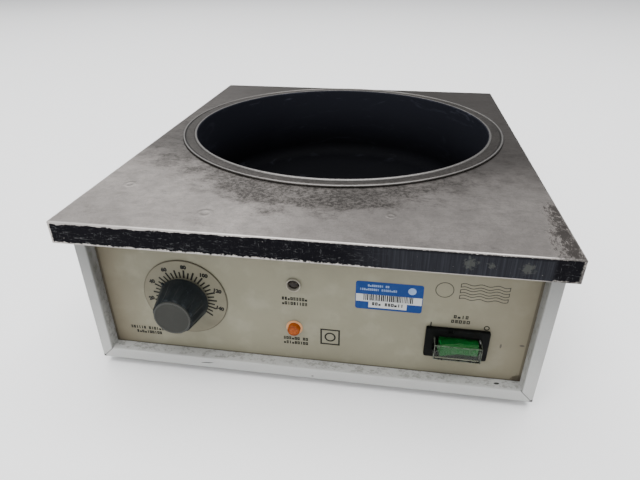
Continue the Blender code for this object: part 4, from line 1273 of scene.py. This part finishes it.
class BATH_OT_switch(bpy.types.Operator):
    """Mains switch: black frame, clear hood, and the green rocker in it"""

    bl_idname = "bath.switch"
    bl_label = "Switch"

    HOOD_WALL = 0.0009
    HOOD_EDGE = 0.00038  # thickness
    ROCKER_HALF = 0.0121
    ROCKER_TILT = 7  # degrees

    def execute(self, context):
        low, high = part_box("switch_frame")
        at = middle("switch_frame")
        place = facing_front(at.x, at.z)
        width, height = high.x - low.x, high.z - low.z
        front = PANEL_Y - low.y
        black = moulded("switch_black", (0.0035, 0.0038, 0.0036), 0.45, grain=1500, wear=0.2,
                        worn_tone=(0.02, 0.02, 0.021), specular_ior_level=0.05)
        hood_low, hood_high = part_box("switch_hood")
        hood_size = (hood_high.x - hood_low.x, hood_high.z - hood_low.z)
        bezel = plate(width, height, GAP, front, 0.0012, 0.0007)
        bezel = add("switch_bezel", bezel, black, place=place, stands_for=["switch_frame"])
        well = plate(hood_size[0] + 0.0007, hood_size[1] + 0.0007, -0.01, 0.02, 0.0006)
        notch = plate(0.0030, 0.0030, front - 0.0008, 0.02)
        carve(bezel, [
            (well, place.copy()), (notch, place @ Matrix.Translation((-0.0045, height / 2 - 0.0008, 0))),
        ])
        self.make_hood(place, hood_size, PANEL_Y - hood_low.y)
        self.make_rocker()
        paint_node("switch_body", black)
        return {"FINISHED"}

    def make_hood(self, place, hood_size, front):
        """A hollow clear cover, a little hazy."""
        wall = self.HOOD_WALL
        hood = plate(*hood_size, 0.0001, front, 0.0007, 0.0006)
        clear = Finish("clear_hood", ior=1.2, transmission_weight=1.0, specular_ior_level=0.5)
        haze = clear.noise(300, 4, 0.7).rises(0.5, 0.8)
        clear.set("Base Color", clear.mix(haze, (0.86, 0.90, 0.84), (0.70, 0.74, 0.67)))
        clear.set("Roughness", 0.02 + 0.05 * haze)
        piece = add("clear_cover", hood, clear.material, place=place,
                    stands_for=["switch_hood"])
        self.make_hood_edges(place, hood_size, front)
        inner = [side - 2 * wall for side in hood_size]
        hollow = plate(*inner, -0.01, front - wall, 0.0004, 0.0003)
        carve(piece, [(hollow, place.copy())])

    def make_hood_edges(self, place, hood_size, front):
        """The hood's moulded edges, painted with highlights where clear plastic gathers light."""
        thick = self.HOOD_EDGE
        corners = rectangle(hood_size[0] / 2, hood_size[1] / 2)
        edges = [frame_plate(corners, thick, front - 1.2 * thick, front - 0.2 * thick)]
        for x, y in corners:
            near = (x - math.copysign(thick, x), y - math.copysign(thick, y))
            low = (min(x, near[0]), min(y, near[1]), 0.0032)
            high = (max(x, near[0]), max(y, near[1]), front - thick)
            edges.append(slab(low, high, thick / 3, 2))
        finish = Finish("hood_edges", transmission_weight=0.5, ior=1.2)
        # Painted highlights: the edges are coloured brighter in patches
        bright = finish.noise(500, 4, 0.8).rises(0.35, 0.65)
        finish.set("Base Color", finish.mix(bright, (0.07, 0.08, 0.06), (0.27, 0.30, 0.24)))
        finish.set("Roughness", 0.25 + 0.2 * bright)
        add("hood_edges", gather(edges), finish.material, place=place)

    def make_rocker(self):
        """Lies along X. Its faces dip to the middle, and ribs cross them."""
        low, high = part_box("power_rocker")
        half, depth = self.ROCKER_HALF, (high.z - low.z) / 2
        reach = depth - 0.0012
        outline = [(-half, -0.0114), (0, -0.0096), (half, -0.0114), (half, -0.0035), (0.006, 0.0028),
                   (-0.006, 0.0028), (-half, -0.0035)]
        bm = outline_plate(outline, -depth, depth)
        round_off(bm, list(bm.edges), 0.0005, 3)
        ribs = [bm]
        for i in range(4):
            for side in (-1, 1):
                x = side * (0.0040 + 0.0018 * i)
                y = -0.0096 - 0.0018 * abs(x) / half
                rib = slab((x - 0.0003, y - 0.0003, -reach), (x + 0.0003, y + 0.0004, reach), 0.0002, 2)
                ribs.append(rib)
        tilt = Matrix.Rotation(math.radians(self.ROCKER_TILT), 4, "Z")
        place = Matrix.Translation(pivot("rocker")) @ tilt
        green = moulded("rocker_green", colours().green, 0.22, wear=0.12, ior=1.49,
                        worn_tone=(0.03, 0.17, 0.05), coat_weight=0.1)
        add("rocker", gather(ribs), green, "rocker", place, ["power_rocker"])


class BATH_OT_back(bpy.types.Operator):
    """Mains inlet, fuses, reset button and rating plate on the rear panel"""

    bl_idname = "bath.back"
    bl_label = "Rear panel"

    FUSE_REACH = 0.0237  # of a fuse's cap into its holder
    NUT_TOP = 0.0030
    PLATE_AT = (-0.0250, 0.0640)
    RIVETS_AT = 0.0235  # from the middle of the rating plate

    def execute(self, context):
        black = moulded("inlet_black", (0.012, 0.012, 0.013), 0.42)
        zinc = plated("bright_zinc", (0.62, 0.62, 0.60))
        for node in ("power_inlet", "fuse_holder_live", "fuse_holder_neutral"):
            paint_node(node, black)
        for word in ("live", "neutral"):
            at = middle(f"fuse_carrier_{word}")
            low = -self.FUSE_REACH
            knob = [(0, low), (0.0046, low), (0.0046, 0.0023), (0.0066, 0.0023), (0.0068, 0.0026),
                    (0.0068, 0.0050), (0.0065, 0.0057), (0.0058, 0.0062), (0.0050, 0.0065), (0, 0.0065)]
            place = facing_back(at.x, at.z)
            piece = add(f"fuse_cap_{word}", turned(knob, 48), black, f"fuse_cap_{word}",
                        place, [f"fuse_carrier_{word}"])
            carve(piece, [(slab((-0.0045, -0.0006, 0.0053), (0.0045, 0.0006, 0.01)), place.copy())])
        at = middle("reset_nut")
        place = facing_back(at.x, at.z)
        nut = outline_plate(polygon(0.0082, 6, 0), GAP, self.NUT_TOP)
        round_off(nut, front_edges(nut, self.NUT_TOP), 0.0005, 3)
        nut = add("cutout_nut", nut, zinc, place=place, stands_for=["reset_nut"])
        carve(nut, [(turned([(0, 0), (0.0053, 0), (0.0053, 0.01), (0, 0.01)], 48), place.copy())])
        red = moulded("reset_red", (0.42, 0.02, 0.012), 0.3)
        button = [(0, -0.008), (0.0025, -0.008), (0.0025, 0.0062), (0.0022, 0.0068), (0.0016, 0.0071),
                  (0, 0.0071)]
        add("button", turned(button, 40), red, "reset", place, ["reset_button"])
        self.make_rating_plate(zinc)
        return {"FINISHED"}

    def make_rating_plate(self, zinc):
        """A riveted foil plate, with rows of plain marks for its words."""
        place = facing_back(*self.PLATE_AT)
        foil = plated("plate_foil", (0.50, 0.50, 0.49), 0.35)
        add("rating_plate", plate(0.052, 0.026, 0.0001, 0.0004, 0.0015, 0.0001), foil, place=place)
        rivet = [(0, 0.0002), (0.0014, 0.0002), (0.0013, 0.0007), (0.0007, 0.0010), (0, 0.0011)]
        rivets = [
            (turned(rivet, 24), Matrix.Translation((side * self.RIVETS_AT, 0, 0))) for side in (-1, 1)
        ]
        add("plate_rivets", gather(rivets), zinc, place=place)
        lines = greeked([[7, 5], [4, 8, 3], [9, 4], [5, 5, 5]], 0.0017, 0.0015, 0.0042, 21)
        ink = ink_finish("plate_ink", colours().ink)
        add("plate_lines", lines, ink,
            place=place @ Matrix.Translation((0, 0.0070, 0.0004)))


def screw_head(zinc, node, name, place, angle):
    """A slotted pan head over its shank."""
    head = [(0, -0.0045), (0.0014, -0.0045), (0.0014, 0), (0.0031, 0), (0.0031, 0.0002), (0.0029, 0.0009),
            (0.0024, 0.0014), (0.0015, 0.0018), (0, 0.0019)]
    piece = add(name, turned(head, 40), zinc, place=place, stands_for=[node])
    slot = slab((-0.004, -0.00035, 0.0009), (0.004, 0.00035, 0.003))
    carve(piece, [(slot, place @ Matrix.Rotation(math.radians(angle), 4, "Z"))])


class BATH_OT_fasteners(bpy.types.Operator):
    """Slotted screws in the lid's skirt, the rear panel and the inlet"""

    bl_idname = "bath.fasteners"
    bl_label = "Screws"

    ON_INLET = 0.0031  # height of the inlet's flange over the rear panel

    def execute(self, context):
        zinc = plated("screw_zinc", (0.60, 0.60, 0.58), 0.30)
        draw = random.Random(5)
        for side, word in ((-1, "left"), (1, "right")):
            for end in ("front", "rear"):
                node = f"lid_screw_{word}_{end}"
                at = middle(node)
                place = Matrix.Translation((side * (LID_HIGH.x + GAP), at.y, at.z))
                place = place @ Matrix.Rotation(side * math.pi / 2, 4, "Y")
                screw_head(zinc, node, f"skirt_screw_{word}_{end}", place, draw.uniform(0, 180))
            for end in ("low", "high"):
                node = f"rear_screw_{word}_{end}"
                at = middle(node)
                place = facing_back(at.x, at.z) @ Matrix.Translation((0, 0, GAP))
                screw_head(zinc, node, f"panel_screw_{word}_{end}", place, draw.uniform(0, 180))
            node = f"inlet_screw_{word}"
            at = middle(node)
            place = facing_back(at.x, at.z) @ Matrix.Translation((0, 0, self.ON_INLET))
            screw_head(zinc, node, f"flange_screw_{word}", place, draw.uniform(0, 180))
        return {"FINISHED"}


class BATH_OT_underside(bpy.types.Operator):
    """Base cover, feet and their screws"""

    bl_idname = "bath.underside"
    bl_label = "Underside"

    def execute(self, context):
        paint_node("base_cover", paint_finish("base_paint", 0.0))
        rubber = moulded("foot_rubber", (0.012, 0.012, 0.012), 0.75, grain=900, relief=0.00006, wear=0.5,
                         worn_tone=(0.05, 0.048, 0.045))
        zinc = plated("foot_screw_zinc", (0.60, 0.60, 0.58), 0.30)
        for side in ("left", "right"):
            for end in ("front", "rear"):
                node = f"foot_{side}_{end}"
                at = middle(node)
                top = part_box(node)[1].z
                profile = [(0.0042, 0), (0.0070, 0), (0.0078, 0.0003), (0.0084, 0.0010), (0.0088, 0.0035),
                           (0.0092, top), (0.0023, top), (0.0023, 0.0030), (0.0042, 0.0030)]
                add(f"rubber_foot_{side}_{end}", turned(profile, 48), rubber,
                    place=Matrix.Translation((at.x, at.y, 0)), stands_for=[node])
                paint_node(f"foot_screw_{side}_{end}", zinc)
        return {"FINISHED"}


class BATH_OT_inside(bpy.types.Operator):
    """Finishes of the parts inside the case"""

    bl_idname = "bath.inside"
    bl_label = "Inside parts"

    def execute(self, context):
        groups = [
            (plated("inner_zinc", (0.55, 0.55, 0.53)),
             ["pressure_plate", "support_bracket", "clamp_stud", "clamp_nut"]),
            (plated("copper", (0.65, 0.30, 0.18)),
             ["control_capillary", "control_bulb", "overheat_capillary", "overheat_bulb"]),
            (fibre_finish("mineral_wool", (0.60, 0.55, 0.38)), ["insulation_pad", "insulation_band"]),
            (moulded("mica_sheet", (0.40, 0.33, 0.22), 0.5), ["heater_disc"]),
            (moulded("gasket_rubber", (0.012, 0.012, 0.012), 0.7), ["rim_gasket"]),
            (moulded("beige_plastic", (0.62, 0.57, 0.45), 0.5),
             ["control_thermostat", "overheat_thermostat", "terminal_block"]),
            (moulded("wire_sleeve", (0.42, 0.06, 0.035), 0.55), ["switch_lead", "heater_lead"]),
        ]
        for material, nodes in groups:
            for node in nodes:
                paint_node(node, material)
        return {"FINISHED"}


class BATH_OT_stage(bpy.types.Operator):
    """Pale floor, soft light and the camera"""

    bl_idname = "bath.stage"
    bl_label = "Stage"

    CAMERA_AT = (0.04835, -0.41405, 0.25960)
    YAW = 8.709  # degrees, to the left of +Y
    PITCH = 29.498  # degrees down
    ROLL = -0.166
    FOCAL, SENSOR = 28.47, 36  # mm
    FLOOR_DROP = 0.0002  # below the feet
    LIGHTS = {
        # name: place, what it looks at, width, height, power
        "key": ((-1.1, -2.0, 1.5), (0, 0, 0.05), 1.8, 1.4, 26),
        "overhead": ((0.0, -0.2, 2.8), (0, 0, 0.1), 3.4, 3.0, 170),
        "window": ((-1.6, 2.2, 1.9), (0, 0, 0.1), 2.0, 1.2, 14),
    }
    DIM_BELOW, PALE_ABOVE = 0.26, 0.50  # heights on a unit dome
    DIM = (0.035, 0.036, 0.038)
    PALE = (0.80, 0.81, 0.83)

    def execute(self, context):
        scene = bpy.context.scene
        camera = bpy.data.cameras.new("camera")
        camera.lens = self.FOCAL
        camera.sensor_width = self.SENSOR
        camera.clip_start = 0.01
        holder = bpy.data.objects.new("camera", camera)
        scene.collection.objects.link(holder)
        turn = (
            Matrix.Rotation(math.radians(self.YAW), 4, "Z")
            @ Matrix.Rotation(math.radians(90 - self.PITCH), 4, "X")
            @ Matrix.Rotation(math.radians(self.ROLL), 4, "Z")
        )
        holder.matrix_world = Matrix.Translation(self.CAMERA_AT) @ turn
        scene.camera = holder
        self.make_floor(scene)
        self.make_lights(scene)
        return {"FINISHED"}

    def make_floor(self, scene):
        """A plain pale plane just under the feet."""
        bm = bmesh.new()
        bmesh.ops.create_grid(bm, x_segments=1, y_segments=1, size=12)
        mesh = bpy.data.meshes.new("floor")
        bm.to_mesh(mesh)
        bm.free()
        finish = Finish("pale_floor", roughness=0.9)
        finish.set("Base Color", (0.92, 0.92, 0.92))
        mesh.materials.append(finish.material)
        floor = bpy.data.objects.new("floor", mesh)
        floor.location.z = -self.FLOOR_DROP
        scene.collection.objects.link(floor)

    def make_lights(self, scene):
        """Soft area lights, and the room's glow."""
        for name, (place, target, width, height, power) in self.LIGHTS.items():
            data = bpy.data.lights.new(name, "AREA")
            data.shape = "RECTANGLE"
            data.size = width
            data.size_y = height
            data.energy = power
            light = bpy.data.objects.new(name, data)
            light.location = place
            aim = Vector(target) - Vector(place)
            light.rotation_euler = aim.to_track_quat("-Z", "Y").to_euler()
            scene.collection.objects.link(light)
        scene.world = self.make_world()

    def make_world(self):
        """Pale overhead and dim near the horizon, as a room with a bright ceiling."""
        world = bpy.data.worlds.new("studio")
        world.use_nodes = True
        tree = world.node_tree
        direction = tree.nodes.new("ShaderNodeTexCoord")
        split = tree.nodes.new("ShaderNodeSeparateXYZ")
        rise = tree.nodes.new("ShaderNodeMapRange")
        rise.interpolation_type = "SMOOTHSTEP"
        rise.inputs["From Min"].default_value = self.DIM_BELOW
        rise.inputs["From Max"].default_value = self.PALE_ABOVE
        blend = tree.nodes.new("ShaderNodeMix")
        blend.data_type = "RGBA"
        blend.inputs[6].default_value = (*self.DIM, 1)
        blend.inputs[7].default_value = (*self.PALE, 1)
        tree.links.new(direction.outputs["Generated"], split.inputs[0])
        tree.links.new(split.outputs["Z"], rise.inputs["Value"])
        tree.links.new(rise.outputs[0], blend.inputs[0])
        tree.links.new(blend.outputs[2], tree.nodes["Background"].inputs["Color"])
        return world


class BATH_PT_panel(bpy.types.Panel):
    """Lists the pieces, and the sizes and colours they are made with"""

    bl_idname = "BATH_PT_panel"
    bl_label = "Flotation bath"
    bl_space_type = "VIEW_3D"
    bl_region_type = "UI"
    bl_category = "Bath"

    def draw(self, context):
        for operator in OPERATORS:
            self.layout.operator(operator.bl_idname)
        for group in (context.scene.bath_sizes, context.scene.bath_colours):
            box = self.layout.box()
            for name in group.__annotations__:
                box.prop(group, name)


OPERATORS = (
    BATH_OT_lid, BATH_OT_bowl, BATH_OT_case, BATH_OT_panel, BATH_OT_label, BATH_OT_dial, BATH_OT_knob,
    BATH_OT_lamps, BATH_OT_switch, BATH_OT_back, BATH_OT_fasteners, BATH_OT_underside, BATH_OT_inside,
    BATH_OT_stage,
)
CLASSES = (BathSizes, BathColours, *OPERATORS, BATH_PT_panel)


def register():
    """Makes the operators and the panel known, and gives each scene its sizes and colours."""
    for cls in CLASSES:
        bpy.utils.register_class(cls)
    bpy.types.Scene.bath_sizes = bpy.props.PointerProperty(type=BathSizes)
    bpy.types.Scene.bath_colours = bpy.props.PointerProperty(type=BathColours)


def unregister():
    """Takes away what register added."""
    del bpy.types.Scene.bath_colours
    del bpy.types.Scene.bath_sizes
    for cls in reversed(CLASSES):
        bpy.utils.unregister_class(cls)


def main():
    """Builds everything in order."""
    register()
    for operator in OPERATORS:
        group, name = operator.bl_idname.split(".")
        getattr(getattr(bpy.ops, group), name)()


if __name__ == "__main__":
    main()
